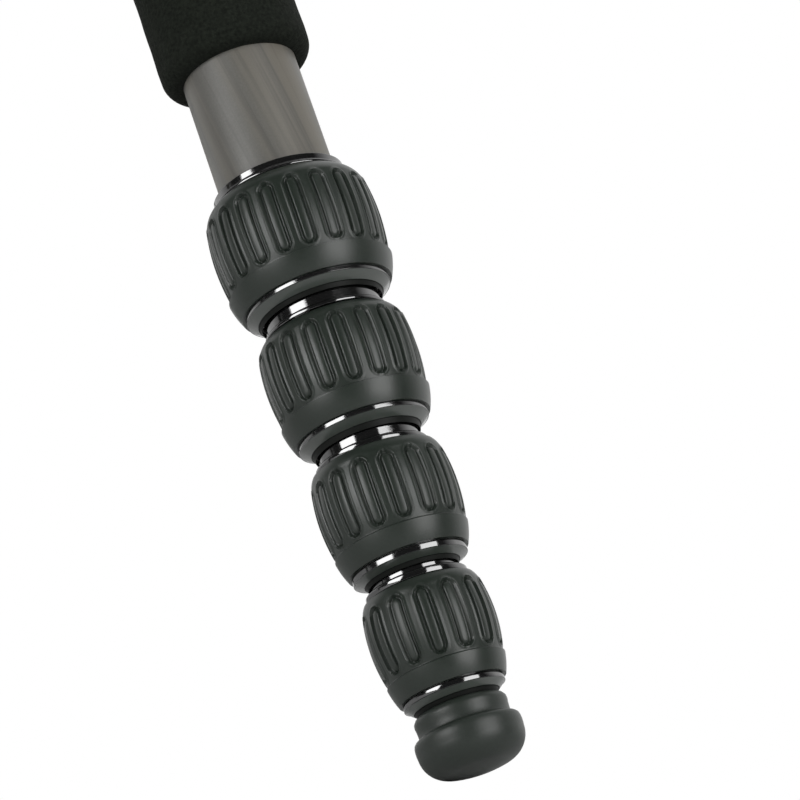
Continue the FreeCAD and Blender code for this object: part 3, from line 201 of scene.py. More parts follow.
def weigh_normals(piece):
    """Let large faces set the shading normals, so that a polished wall mirrors the lamps evenly."""
    weighted = piece.modifiers.new("even_walls", "WEIGHTED_NORMAL")
    weighted.keep_sharp = True
    bpy.ops.object.modifier_apply(modifier="even_walls")


def arc(centre, radius, start, finish, count):
    """Points on an arc about a centre (radius, height), by angle in degrees, ends included."""
    points = []
    for step in range(count + 1):
        angle = math.radians(start + (finish - start) * step / count)
        points.append((centre[0] + radius * math.cos(angle), centre[1] + radius * math.sin(angle)))
    return points


# %% [markdown]
# ## Tools for setting pieces on the legs
#
# The same piece is used on every leg. It is modelled once, copied with a mesh of its own for
# each leg, and the leg's matrix is applied to the mesh, so that its object stays at the origin.

# %% Helper: one copy for each leg
def set_on_legs(piece, part, finish, body, nodes=()):
    """Copy an upright piece to every leg, give it its finish and let it ride on its body."""
    copies = {}
    for letter in LEGS:
        copy = piece.copy()
        copy.data = piece.data.copy()
        copy.name = f"leg_{letter}_{part}"
        bpy.context.scene.collection.objects.link(copy)
        copy.matrix_world = LEG_SPACE[letter]
        activate(copy)
        bpy.ops.object.transform_apply(location=True, rotation=True, scale=True)
        copy.data.materials.clear()
        copy.data.materials.append(finish[letter])
        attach(copy, body.format(letter))
        if nodes:
            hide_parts(*[node.format(letter) for node in nodes])
        copies[letter] = copy
    bpy.data.objects.remove(piece)
    return copies


# %% [markdown]
# ## Node groups shared by the finishes
#
# Real surfaces are never one flat value. Two effects are used in nearly every finish here, so
# each is a node group with named inputs: a fine grain that roughens and tints the surface, and
# slow, cloudy handling marks that shift the gloss.

# %% Helper: build a node group
def new_group(name, inputs, outputs):
    """An empty shader group with float or vector sockets, and its two end nodes."""
    group = bpy.data.node_groups.new(name, "ShaderNodeTree")
    for label, kind, value in inputs:
        socket = group.interface.new_socket(label, in_out="INPUT", socket_type=kind)
        if value is not None:
            socket.default_value = value
    for label, kind in outputs:
        group.interface.new_socket(label, in_out="OUTPUT", socket_type=kind)
    return group, group.nodes.new("NodeGroupInput"), group.nodes.new("NodeGroupOutput")


def add_node(tree, kind, **settings):
    """A new node, with its settings such as its mode or data type."""
    node = tree.nodes.new(kind)
    for key, value in settings.items():
        setattr(node, key, value)
    return node


def noise(tree, vector, scale, detail, roughness):
    """The value of a noise texture. Its scale may be a number or a socket."""
    node = add_node(tree, "ShaderNodeTexNoise")
    tree.links.new(vector, node.inputs["Vector"])
    for label, value in (("Scale", scale), ("Detail", detail), ("Roughness", roughness)):
        if hasattr(value, "links"):
            tree.links.new(value, node.inputs[label])
        else:
            node.inputs[label].default_value = value
    return node.outputs["Fac"]


def spread(tree, value, low, high, to_low, to_high):
    """Map a value from one span to another, without going past the ends."""
    node = add_node(tree, "ShaderNodeMapRange")
    tree.links.new(value, node.inputs["Value"])
    labels = ("From Min", "From Max", "To Min", "To Max")
    for label, number in zip(labels, (low, high, to_low, to_high)):
        if hasattr(number, "links"):
            tree.links.new(number, node.inputs[label])
        else:
            node.inputs[label].default_value = number
    return node.outputs["Result"]


def math_node(tree, operation, first, second):
    """A sum, product or the like of two sockets or numbers."""
    node = add_node(tree, "ShaderNodeMath", operation=operation)
    for index, item in enumerate((first, second)):
        if hasattr(item, "links"):
            tree.links.new(item, node.inputs[index])
        else:
            node.inputs[index].default_value = item
    return node.outputs[0]


def mix_colour(tree, factor, first, second):
    """Blend two colours by a factor. Each colour may be a socket or three numbers."""
    node = add_node(tree, "ShaderNodeMix", data_type="RGBA")
    tree.links.new(factor, node.inputs[0])
    for socket, item in zip((node.inputs[6], node.inputs[7]), (first, second)):
        if hasattr(item, "links"):
            tree.links.new(item, socket)
        else:
            socket.default_value = (*item, 1)
    return node.outputs[2]


# %% Group: fine grain
GRAIN, grain_in, grain_out = new_group(
    "fine_grain",
    [("Vector", "NodeSocketVector", None), ("Scale", "NodeSocketFloat", 900.0),
     ("Depth", "NodeSocketFloat", 0.3)],
    [("Mask", "NodeSocketFloat"), ("Height", "NodeSocketFloat")],
)
fine = noise(GRAIN, grain_in.outputs["Vector"], grain_in.outputs["Scale"], 4, 0.6)
GRAIN.links.new(spread(GRAIN, fine, 0.32, 0.68, 0, 1), grain_out.inputs["Mask"])
grain_height = math_node(GRAIN, "MULTIPLY", fine, grain_in.outputs["Depth"])
GRAIN.links.new(grain_height, grain_out.inputs["Height"])

# %% Group: handling marks
MARKS, marks_in, marks_out = new_group(
    "handling_marks",
    [("Vector", "NodeSocketVector", None), ("Scale", "NodeSocketFloat", 45.0),
     ("Gloss Low", "NodeSocketFloat", 0.4), ("Gloss High", "NodeSocketFloat", 0.6)],
    [("Mask", "NodeSocketFloat"), ("Roughness", "NodeSocketFloat")],
)
cloudy = noise(MARKS, marks_in.outputs["Vector"], marks_in.outputs["Scale"], 5, 0.6)
cloud = spread(MARKS, cloudy, 0.35, 0.65, 0, 1)
MARKS.links.new(cloud, marks_out.inputs["Mask"])
MARKS.links.new(
    spread(MARKS, cloud, 0, 1, marks_in.outputs["Gloss Low"], marks_in.outputs["Gloss High"]),
    marks_out.inputs["Roughness"],
)
print("node groups:", [group.name for group in bpy.data.node_groups])


# %% [markdown]
# ## Finishes
#
# Every finish starts from the same few nodes: object coordinates, a Principled shader, the grain
# group and the marks group. For a leg, the coordinates are turned into the leg's own space, so
# that streaks and bands follow the leg and not the room.

# %% Helper: a finish
BUMP_REACH = 0.0004


def new_finish(name, colour, darker, grain_scale, grain_depth, gloss, mark_scale=45, letter=None,
               bump_reach=BUMP_REACH, **shader):
    """A finish with grain and handling marks.

    Its colour varies between the two given, and its roughness within gloss. A letter turns it
    into that leg's space. Further names are inputs of the shader. Returns the material and the
    parts of it that a finish may add to.
    """
    material = bpy.data.materials.new(name)
    material.use_nodes = True
    tree = material.node_tree
    principled = tree.nodes["Principled BSDF"]
    coordinates = add_node(tree, "ShaderNodeTexCoord").outputs["Object"]
    if letter:
        turn = add_node(tree, "ShaderNodeMapping", vector_type="TEXTURE")
        tree.links.new(coordinates, turn.inputs["Vector"])
        turn.inputs["Location"].default_value = LEG_SPACE[letter].to_translation()
        turn.inputs["Rotation"].default_value = LEG_SPACE[letter].to_euler("XYZ")
        coordinates = turn.outputs["Vector"]
    grain = add_node(tree, "ShaderNodeGroup", node_tree=GRAIN)
    grain.inputs["Scale"].default_value = grain_scale
    grain.inputs["Depth"].default_value = 1.0
    tree.links.new(coordinates, grain.inputs["Vector"])
    marks = add_node(tree, "ShaderNodeGroup", node_tree=MARKS)
    marks.inputs["Scale"].default_value = mark_scale
    marks.inputs["Gloss Low"].default_value = gloss[0]
    marks.inputs["Gloss High"].default_value = gloss[1]
    tree.links.new(coordinates, marks.inputs["Vector"])
    speckled = mix_colour(tree, grain.outputs["Mask"], darker, colour)
    tree.links.new(speckled, principled.inputs["Base Color"])
    tree.links.new(marks.outputs["Roughness"], principled.inputs["Roughness"])
    bump = add_node(tree, "ShaderNodeBump")
    bump.inputs["Strength"].default_value = grain_depth
    bump.inputs["Distance"].default_value = bump_reach
    tree.links.new(grain.outputs["Height"], bump.inputs["Height"])
    tree.links.new(bump.outputs["Normal"], principled.inputs["Normal"])
    for label, value in shader.items():
        principled.inputs[label.replace("_", " ")].default_value = value
    return material, {
        "tree": tree, "vector": coordinates, "colour": speckled, "shader": principled,
    }


# %% [markdown]
# ### Carbon tube
#
# The tube is wrapped from thin carbon tape and has a satin surface. Close up it is a warm grey
# with long, thin, darker streaks that lean a little to one side, because the tape winds round
# the tube at a steep angle. The streaks are a noise that is stretched along the leg, after the
# space has been twisted about the leg's axis.

# %% Finish: carbon tube
TWIST = 13.0
STREAK_SQUEEZE = 0.02
STREAKS_SCALE, BANDS_SCALE = 620, 110
WARM_BAND, DARK_STREAK = (0.15, 0.137, 0.112), (0.06, 0.058, 0.054)
STREAK_STRENGTH = 0.55


def carbon(letter):
    """The tube's finish in one leg's space. The twist is in radians for each metre of leg."""
    material, parts = new_finish(
        f"carbon_tube_{letter}", (0.112, 0.11, 0.1), (0.094, 0.092, 0.083), 2600, 0.05,
        (0.42, 0.52), letter=letter, Specular_IOR_Level=0.5,
    )
    tree = parts["tree"]
    height = add_node(tree, "ShaderNodeSeparateXYZ")
    tree.links.new(parts["vector"], height.inputs[0])
    twist = add_node(tree, "ShaderNodeVectorRotate", rotation_type="Z_AXIS")
    tree.links.new(parts["vector"], twist.inputs["Vector"])
    tree.links.new(math_node(tree, "MULTIPLY", height.outputs["Z"], TWIST), twist.inputs["Angle"])
    stretch = add_node(tree, "ShaderNodeMapping")
    stretch.inputs["Scale"].default_value = (1, 1, STREAK_SQUEEZE)
    tree.links.new(twist.outputs["Vector"], stretch.inputs["Vector"])
    streaks = noise(tree, stretch.outputs["Vector"], STREAKS_SCALE, 4, 0.62)
    thin = spread(tree, streaks, 0.5, 0.72, 0, 1)
    bands = noise(tree, stretch.outputs["Vector"], BANDS_SCALE, 2, 0.5)
    warm = mix_colour(tree, spread(tree, bands, 0.35, 0.65, 0, 1), parts["colour"], WARM_BAND)
    strength = math_node(tree, "MULTIPLY", thin, STREAK_STRENGTH)
    streaked = mix_colour(tree, strength, warm, DARK_STREAK)
    tree.links.new(streaked, parts["shader"].inputs["Base Color"])
    return material


CARBON = {letter: carbon(letter) for letter in LEGS}

# %% [markdown]
# ### Moulded rubber, black metal and foam
#
# The sleeves and feet are a charcoal rubber with a soft sheen and a touch of green. The nuts and
# bushes are turned and anodised black, and shine. A nut's cone is satin, and its colour is made
# lighter to paint the light that bounces up onto it from below. Its lip is dull black, and that
# black also paints the shade in the gap under the nut. The grip is a closed-cell foam, almost
# black, with tiny pores.

# %% Finishes: rubber, anodised black, foam
RUBBER, FOOT_RUBBER, ANODISED, CONE_SATIN_PAINTED_BOUNCE, LIP_BLACK_PAINTED_SHADE, FOAM = {}, {}, {}, {}, {}, {}
for letter in LEGS:
    RUBBER[letter], _ = new_finish(
        f"sleeve_rubber_{letter}", (0.0138, 0.0198, 0.0148), (0.0108, 0.0158, 0.0116), 2400, 0.05,
        (0.31, 0.39), letter=letter, Specular_IOR_Level=0.5,
    )
    FOOT_RUBBER[letter], _ = new_finish(
        f"foot_rubber_{letter}", (0.0155, 0.0212, 0.0165), (0.0122, 0.017, 0.0132), 1800, 0.05,
        (0.36, 0.44), letter=letter, Specular_IOR_Level=0.5,
    )
    ANODISED[letter], _ = new_finish(
        f"anodised_black_{letter}", (0.005, 0.005, 0.005), (0.004, 0.004, 0.004), 3000, 0.015,
        (0.06, 0.11), letter=letter, IOR=2.2,
    )
    # Satin cone: its colour is made lighter to paint the light that bounces up onto it from below.
    CONE_SATIN_PAINTED_BOUNCE[letter], _ = new_finish(
        f"satin_cone_painted_bounce_{letter}", (0.043, 0.052, 0.0445), (0.037, 0.0455, 0.0385), 2600, 0.03,
        (0.3, 0.38), letter=letter, IOR=1.6, Coat_Weight=0.8, Coat_Roughness=0.12,
    )
    # The lip's dull black barely mirrors the lamps, and it also paints the shade in the gap under
    # the nut.
    LIP_BLACK_PAINTED_SHADE[letter], _ = new_finish(
        f"lip_black_painted_shade_{letter}", (0.004, 0.005, 0.004), (0.003, 0.004, 0.003), 2600, 0.03,
        (0.45, 0.55), letter=letter, Specular_IOR_Level=0.15,
    )
    FOAM[letter], _ = new_finish(
        f"grip_foam_{letter}", (0.0135, 0.0165, 0.0122), (0.0042, 0.0055, 0.0038), 1300, 0.9,
        (0.85, 0.95), letter=letter, bump_reach=0.00055, Specular_IOR_Level=0.12,
    )
leg_finishes = (CARBON, RUBBER, FOOT_RUBBER, ANODISED, CONE_SATIN_PAINTED_BOUNCE, LIP_BLACK_PAINTED_SHADE, FOAM)
print("leg finishes:", sum(len(kind) for kind in leg_finishes))

# %% [markdown]
# ## Sizes of the leg's parts
#
# The sections of a leg nest like a telescope, so every lock has the same build in a smaller
# size. These tables hold the sizes in millimetres, from the top lock, 1, to the lowest. TUBE is
# a diameter; the other widths are radii. EDGE is the reach from the hinge down to the lower edge
# of a lock's sleeve, and a DROP is measured down from there.

# %% Sizes: tubes and sleeves
TUBE = {1: 25, 2: 22, 3: 19, 4: 16, 5: 13}
TUBE_TOP = {1: 30, 2: 35, 3: 40, 4: 45, 5: 50}
TUBE_WALL = 1.2
EDGE = {1: 295.9, 2: 326.1, 3: 355.6, 4: 383.2}
HEIGHT = {1: 24.4, 2: 23.4, 3: 22.3, 4: 21.4}
WIDEST = {1: 18.05, 2: 16.2, 3: 14.6, 4: 13.0}
WAIST = {1: 17.15, 2: 15.3, 3: 13.7, 4: 11.95}
CROWN = {1: 17.4, 2: 15.65, 3: 14.05, 4: 12.45}
BAND_HEIGHT = {1: 4.5, 2: 4.7, 3: 4.4, 4: 4.1}
BAND = {1: 17.8, 2: 15.9, 3: 14.05, 4: 12.3}
EDGE_RADIUS = {1: 16.25, 2: 14.5, 3: 12.65, 4: 11.1}
RIM = {1: 15.7, 2: 14.1, 3: 13.1, 4: 11.5}
RIM_DROP = {1: 0.2, 2: 0.4, 3: 0.05, 4: 0.05}

# %% Sizes: flutes
# How many flutes a lock has, the angle in degrees where one of them sits, and the height of the
# plain wall above them.
FLUTES = {1: 20, 2: 18, 3: 16, 4: 14}
FLUTE_AZIMUTH = {1: -90, 2: -75, 3: -75, 4: -87}
FLUTE_TOP = {1: 3.0, 2: 2.4, 3: 2.5, 4: 2.1}

# %% Sizes: bushes, nuts and foot
FLANGE = {1: 14.9, 2: 13.2, 3: 12.0, 4: 10.65}
FLANGE_TALL = {1: 0.75, 2: 0.95, 3: 1.25, 4: 1.4}
NECK = {1: 14.3, 2: 12.4, 3: 10.65, 4: 9.0}
RING_TOP = {1: 0.05, 2: 0.05, 3: 0.4, 4: 0.3}
RING_DROP = {1: 0.95, 2: 1.0, 3: 1.45, 4: 1.25}
LIP = {1: 13.45, 2: 11.6, 3: 9.9, 4: 8.7}
LIP_TALL = {1: 1.0, 2: 1.2, 3: 0.9, 4: 0.9}
LIP_DROP, LIP_RECESS = 2.4, 1.4
FOOT_TOP = EDGE[4] + LIP_DROP + 1.0
FOOT_CENTRE = EDGE[4] + 10.9
THREAD_REACH = 3


# %% [markdown]
# ## Tubes and bushes
#
# Each tube is a plain thin-walled ring. On the lower end of the upper four sits a black bush:
# its thread is hidden in the lock, but its flange and neck show as the bright black rings
# above every lock.

# %% Tubes and bushes
def make_tube(section):
    """A tube from its hidden upper end down into its own lock, or into the foot."""
    outer = TUBE[section] / 2
    inner = outer - TUBE_WALL
    low = -(EDGE[section] - THREAD_REACH) if section in EDGE else -(FOOT_TOP + 6)
    high = -TUBE_TOP[section]
    outline = [(outer, low), (outer, high), (inner, high), (inner, low)]
    return turned(f"tube_{section}", outline, bevel=0.15)


def make_bush(lock):
    """The bush above a lock: thread, flange with a slanted upper edge, and neck."""
    tube = TUBE[lock] / 2
    thread = tube + 0.9
    flange, neck = FLANGE[lock], NECK[lock]
    low = -(EDGE[lock] - THREAD_REACH)
    flange_low = -(EDGE[lock] - HEIGHT[lock]) + 0.3
    flange_high = flange_low + FLANGE_TALL[lock]
    neck_high = flange_high + 1.5 if lock == 1 else -EDGE[lock - 1] - LIP_DROP + 0.4
    return turned(f"bush_{lock}", [
        (tube, low), (thread, low), (thread, flange_low), (flange, flange_low),
        (flange, flange_high - 0.3), (flange - 0.35, flange_high + 0.05),
        (neck, flange_high + 0.15), (neck, neck_high), (tube, neck_high),
    ], bevel=0.12, segments=3)


for section in TUBE:
    body = "leg_{}_upper" if section == 1 else "leg_{}_section_" + str(section)
    set_on_legs(make_tube(section), f"tube_{section}_wrapped", CARBON, body,
                [f"leg_{{}}_tube_{section}"])
    if section in EDGE:
        set_on_legs(make_bush(section), f"bush_{section}", ANODISED, body,
                    [f"leg_{{}}_tube_{section}"])
print("tubes and bushes set on the legs")


# %% [markdown]
# ## Nuts
#
# The nut is the metal part of a twist lock. Below the rubber sleeve it shows a polished ring, a
# satin cone, made lighter to paint light bounced up from below, and a dull black lip. The lip's
# black also paints the shade in the gap under the nut. The neck of the next bush stands in the
# lip's mouth.

# %% Nuts
# How far the ring stands in from the sleeve's edge, how deep the groove above it is, and how
# thick the lip is round its mouth.
RING_INSET, GROOVE, MOUTH_WALL = 0.6, 0.7, 0.45


def make_nut(lock):
    """A nut's section: lip, cone, ring, the groove above it and the core inside the sleeve."""
    tube = TUBE[lock] / 2
    passage = TUBE[lock + 1] / 2 + 0.4
    edge = -EDGE[lock]
    top = edge + HEIGHT[lock]
    bore, outside = tube + 1.2, tube + 2.2
    ring = EDGE_RADIUS[lock] - RING_INSET
    ring_high, ring_low = edge - RING_TOP[lock], edge - RING_DROP[lock]
    lip, mouth = LIP[lock], LIP[lock] - MOUTH_WALL
    cone_low = edge - LIP_DROP
    lip_low = cone_low - LIP_TALL[lock]
    return turned(f"nut_{lock}", [
        (passage, lip_low + LIP_RECESS), (mouth, lip_low + LIP_RECESS), (mouth, lip_low),
        (lip - 0.35, lip_low), (lip - 0.05, cone_low - 0.05), (lip + 0.2, cone_low),
        (ring - 0.2, ring_low), (ring, ring_low + 0.02), (ring, ring_high),
        (ring - GROOVE, ring_high), (ring - GROOVE, edge + 0.1),
        (outside, edge + 0.1), (outside, top - 0.5), (bore, top - 0.5),
        (bore, edge + 0.3), (passage, edge + 0.3),
    ], bevel=0.1, segments=3)


def finish_nut(nut, lock, letter):
    """Give the nut's cone its satin finish, made lighter to paint light bounced up from below, and
    its lip a dull black that also paints the gap's shade. Leave the ring bright.
    """
    nut.data.materials.append(CONE_SATIN_PAINTED_BOUNCE[letter])
    nut.data.materials.append(LIP_BLACK_PAINTED_SHADE[letter])
    upright = LEG_SPACE[letter].inverted()
    cone_low, cone_high = -(EDGE[lock] + LIP_DROP), -(EDGE[lock] + RING_DROP[lock]) + 0.01
    narrow, wide = LIP[lock] + 0.3, EDGE_RADIUS[lock] - 0.8
    # Cone faces get the lightened colour that paints bounced light. Lip faces get the dull black
    # that also paints the gap's shade.
    for face in nut.data.polygons:
        spot = upright @ face.center / MM
        radius = math.hypot(spot.x, spot.y)
        if cone_low < spot.z < cone_high and narrow < radius < wide:
            face.material_index = 1
        elif spot.z < cone_low + 0.08:
            face.material_index = 2


for lock in EDGE:
    nuts = set_on_legs(make_nut(lock), f"nut_{lock}", ANODISED, "leg_{}_twist_" + str(lock),
                       [f"leg_{{}}_lock_{lock}"])
    for letter, nut in nuts.items():
        finish_nut(nut, lock, letter)
print("nuts set on the legs")


# %% [markdown]
# ## Rubber sleeves
#
# The sleeve is what a hand turns, so it is the most worked part of the leg: a smooth band at the
# bottom, and above it a barrel with a ring of flutes. Each flute is a slot with round ends, a
# slightly raised lip round it, and a broad, gently rounded rib left standing along its middle.
#
# Flutes cut with booleans would have hard edges that moulded rubber never has. Instead, one
# flute's share of the wall is a flat grid, and each of its points is pressed in by its distance
# from the slot's outline. That patch is then rolled onto the barrel, copied round, welded and
# closed at the back.

# %% Helper: press one flute into a patch
# A flute's foot is the plain wall below it. The rib ends RIB_END short of the slot at both ends.
# STEP is the low ridge between band and barrel.
FLUTE_WIDTH, FLUTE_DEPTH, FLUTE_FOOT = 3.7, 0.62, 0.5
RIB_WIDTH, RIB_CROWN, RIB_SHOULDER, RIB_END = 1.25, 0.2, 0.8, 1.75
LIP_HEIGHT = 0.15
STEP = 0.35


def slot_distance(across, along, half_width, low, high):
    """Distance from a slot's outline, negative inside the slot."""
    middle = min(max(along, low + half_width), high - half_width)
    return math.hypot(across, along - middle) - half_width


def ease(value, start, finish):
    """0 before start, 1 after finish, and a smooth step between them."""
    step = min(max((value - start) / (finish - start), 0), 1)
    return step * step * (3 - 2 * step)


def pressed(across, along, low, high):
    """How far the wall stands out (+) or is pressed in (-) at a place, in millimetres."""
    outer = slot_distance(across, along, FLUTE_WIDTH / 2, low, high)
    inner = slot_distance(across, along, 0, low + RIB_END, high - RIB_END)
    lip = LIP_HEIGHT * ease(outer, -0.12, 0.08) * (1 - ease(outer, 0.15, 0.5))
    floor = ease(-outer, -0.02, 0.42)
    rib = 1 - RIB_CROWN * inner ** 2 - (1 - RIB_CROWN) * ease(inner, RIB_SHOULDER, RIB_WIDTH)
    return lip - FLUTE_DEPTH * floor * (1 - max(rib, 0.0))


def bulge(start, finish, radius, height):
    """Radius at a height on an arc that swells outward between two (radius, height) places."""
    (r0, z0), (r1, z1) = start, finish
    half = math.hypot(r1 - r0, z1 - z0) / 2
    back = math.sqrt(radius ** 2 - half ** 2) / (2 * half)
    middle_r = (r0 + r1) / 2 - (z1 - z0) * back
    middle_z = (z0 + z1) / 2 + (r1 - r0) * back
    return middle_r + math.sqrt(max(radius ** 2 - (height - middle_z) ** 2, 0))


# Where the crown starts, below the sleeve's top, and the radii on which band and crown swell.
SHOULDER_DROP, BAND_ARC, CROWN_ARC = 2.7, 18, 5


def sleeve_radius(lock, height):
    """Radius of the sleeve's plain wall at a height above its lower edge."""
    band_high = BAND_HEIGHT[lock]
    barrel_low = band_high + STEP
    top = HEIGHT[lock]
    shoulder = top - SHOULDER_DROP
    if height <= band_high:
        return bulge((EDGE_RADIUS[lock], 0), (BAND[lock], band_high), BAND_ARC, height)
    if height < barrel_low:
        return BAND[lock] + (WAIST[lock] - BAND[lock]) * ease(height, band_high, band_high + 0.25)
    if height <= shoulder:
        share = (height - barrel_low) / (shoulder - barrel_low)
        line = WAIST[lock] + (CROWN[lock] - WAIST[lock]) * share
        swell = WIDEST[lock] - (WAIST[lock] + CROWN[lock]) / 2
        return line + swell * (1 - (2 * share - 1) ** 2)
    return bulge((CROWN[lock], shoulder), (RIM[lock], top - RIM_DROP[lock]), CROWN_ARC, height)


def sleeve_rows(lock):
    """Heights of the patch's rows: close together at the ridge, the flutes and the crown."""
    ridge, top = BAND_HEIGHT[lock], HEIGHT[lock] - RIM_DROP[lock]
    low, high = ridge + STEP, top - 1.2
    rows = [ridge * step / 9 for step in range(9)]
    rows += [ridge - 0.12, ridge, ridge + 0.08, ridge + 0.16, ridge + 0.25]
    count = round((high - low) / 0.26)
    rows += [low + (high - low) * step / count for step in range(count + 1)]
    rows += [high + (top - high) * step / 6 for step in range(1, 7)]
    return rows


# %% Helper: roll the patch onto the barrel and close it
ACROSS = 34


def make_sleeve(lock):
    """One lock's sleeve: a patch with one flute, rolled, copied round and joined."""
    rows = sleeve_rows(lock)
    clear_selection()
    bpy.ops.mesh.primitive_grid_add(x_subdivisions=ACROSS, y_subdivisions=len(rows) - 1, size=1)
    sector = bpy.context.object
    sector.name = f"sleeve_{lock}"
    count = FLUTES[lock]
    pitch = 2 * math.pi / count
    start = math.radians(FLUTE_AZIMUTH[lock])
    low = BAND_HEIGHT[lock] + STEP + FLUTE_FOOT
    high = HEIGHT[lock] - FLUTE_TOP[lock]
    for vertex in sector.data.vertices:
        angle = vertex.co.x * pitch
        height = rows[round((vertex.co.y + 0.5) * (len(rows) - 1))]
        radius = sleeve_radius(lock, height) + pressed(angle * WIDEST[lock], height, low, high)
        spot = start + angle
        x, y = math.cos(spot) * radius, math.sin(spot) * radius
        vertex.co = Vector((x, y, height - EDGE[lock])) * MM
    sectors = []
    for number in range(1, count):
        copy = sector.copy()
        copy.data = sector.data.copy()
        copy.data.transform(Matrix.Rotation(pitch * number, 4, "Z"))
        bpy.context.scene.collection.objects.link(copy)
        sectors.append(copy)
    clear_selection()
    for copy in sectors:
        copy.select_set(True)
    sector.select_set(True)
    bpy.context.view_layer.objects.active = sector
    bpy.ops.object.join()
    close_sleeve(sector, lock)
    return sector


def close_sleeve(sleeve, lock):
    """Weld the sectors, fold the rims inward and bridge them behind the wall."""
    core = TUBE[lock] / 2 + 2.25
    bpy.ops.object.mode_set(mode="EDIT")
    bpy.ops.mesh.select_all(action="SELECT")
    bpy.ops.mesh.remove_doubles(threshold=0.00002)
    bpy.ops.mesh.select_all(action="DESELECT")
    bpy.ops.mesh.select_non_manifold()
    bpy.ops.mesh.extrude_edges_move()
    bpy.ops.object.mode_set(mode="OBJECT")
    for vertex in sleeve.data.vertices:
        if vertex.select:
            spot = Vector((vertex.co.x, vertex.co.y, 0)).normalized() * core * MM
            vertex.co = Vector((spot.x, spot.y, vertex.co.z))
    bpy.ops.object.mode_set(mode="EDIT")
    bpy.ops.mesh.bridge_edge_loops()
    bpy.ops.mesh.select_all(action="SELECT")
    bpy.ops.mesh.normals_make_consistent(inside=False)
    bpy.ops.object.mode_set(mode="OBJECT")
    bpy.ops.object.shade_smooth_by_angle(angle=math.radians(50))


# %% Sleeves
for lock in EDGE:
    sleeve = make_sleeve(lock)
    print("sleeve", lock, "has", len(sleeve.data.polygons), "faces")
    set_on_legs(sleeve, f"sleeve_{lock}", RUBBER, "leg_{}_twist_" + str(lock),
                [f"leg_{{}}_lock_{lock}"])


# %% [markdown]
# ## Rubber feet
#
# The foot is one turned rubber part: a collar that grips the tube, a crease below it, and a
# flattened ball. The ball's wide edge is one arc, and a much flatter one closes it below.

# %% Feet
# The edge arc's radius and its centre's distance from the axis, and how much lower than that arc
# the middle of the underside lies.
FOOT_EDGE, FOOT_OFFSET, FOOT_CROWN = 5.6, 5.35, 0.7


def make_foot():
    """The foot, turned from its collar down to the ground. Its two arcs meet smoothly."""
    tube = TUBE[5] / 2
    top = -FOOT_TOP
    centre = -FOOT_CENTRE
    rise = (FOOT_OFFSET ** 2 - FOOT_CROWN ** 2) / (2 * FOOT_CROWN)
    lean = math.degrees(math.atan2(FOOT_OFFSET, rise))
    outline = [
        (tube, top), (8.7, top), (9.15, top - 0.3), (9.55, top - 0.9), (9.62, top - 1.5),
        (9.5, top - 2.3), (9.45, top - 3.1), (9.45, top - 3.8), (9.55, top - 4.15),
        (9.95, top - 4.4), (10.45, top - 4.6), (10.8, top - 4.95), (10.97, top - 5.5),
        (11.03, top - 6.2), (11.02, top - 7.0),
    ]
    outline += arc((FOOT_OFFSET, centre), FOOT_EDGE, 0, lean - 90, 20)
    underside = FOOT_EDGE + rise + FOOT_CROWN
    outline += arc((0, centre + rise), underside, lean - 90, -89, 8)[1:]
    return turned("foot", outline, closed=False)


feet = set_on_legs(make_foot(), "foot_moulded", FOOT_RUBBER, "leg_{}_section_5",
                   ["leg_{}_rubber_foot"])
print("feet:", len(feet))

# %% [markdown]
# ## Foam grips
#
# The grip is a thick sleeve of foam, pulled over the tube. Its ends are cut and rounded. It has
# many rings along its length, so that a slow, barely visible waviness can be pressed into it,
# as soft foam has.

# %% Foam grips
# The sleeve's two radii and the rounding of its rims, then the heights of its ends.
FOAM_INNER, FOAM_OUTER, FOAM_EDGE = 12.5, 16.5, 3.2
FOAM_LOW, FOAM_HIGH = -(EDGE[1] - 54.8), -72
FOAM_RINGS = 60


def make_foam():
    """A foam sleeve with round rims and a slow waviness along it."""
    shoulder = FOAM_OUTER - FOAM_EDGE
    outline = [(FOAM_INNER, FOAM_HIGH), (FOAM_INNER, FOAM_LOW)]
    outline += arc((shoulder, FOAM_LOW + FOAM_EDGE), FOAM_EDGE, -90, 0, 10)
    length = FOAM_HIGH - FOAM_LOW - 2 * FOAM_EDGE
    for step in range(1, FOAM_RINGS):
        height = FOAM_LOW + FOAM_EDGE + length * step / FOAM_RINGS
        ripple = 0.05 * math.sin(step * 1.7) + 0.03 * math.sin(step * 0.6 + 1)
        outline.append((FOAM_OUTER + ripple, height))
    outline += arc((shoulder, FOAM_HIGH - FOAM_EDGE), FOAM_EDGE, 0, 90, 10)
    return turned("foam", outline, steps=96)


foams = set_on_legs(make_foam(), "foam_sleeve", FOAM, "leg_{}_upper", ["leg_{}_foam_grip"])
print("foam grips:", len(foams))

# %% [markdown]
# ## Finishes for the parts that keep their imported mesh
#
# Hub, head and clamp are cast or turned metal with a fine black finish. Knobs are rubber, bolts
# and screws are steel. Each gets grain and handling marks at its own scale.

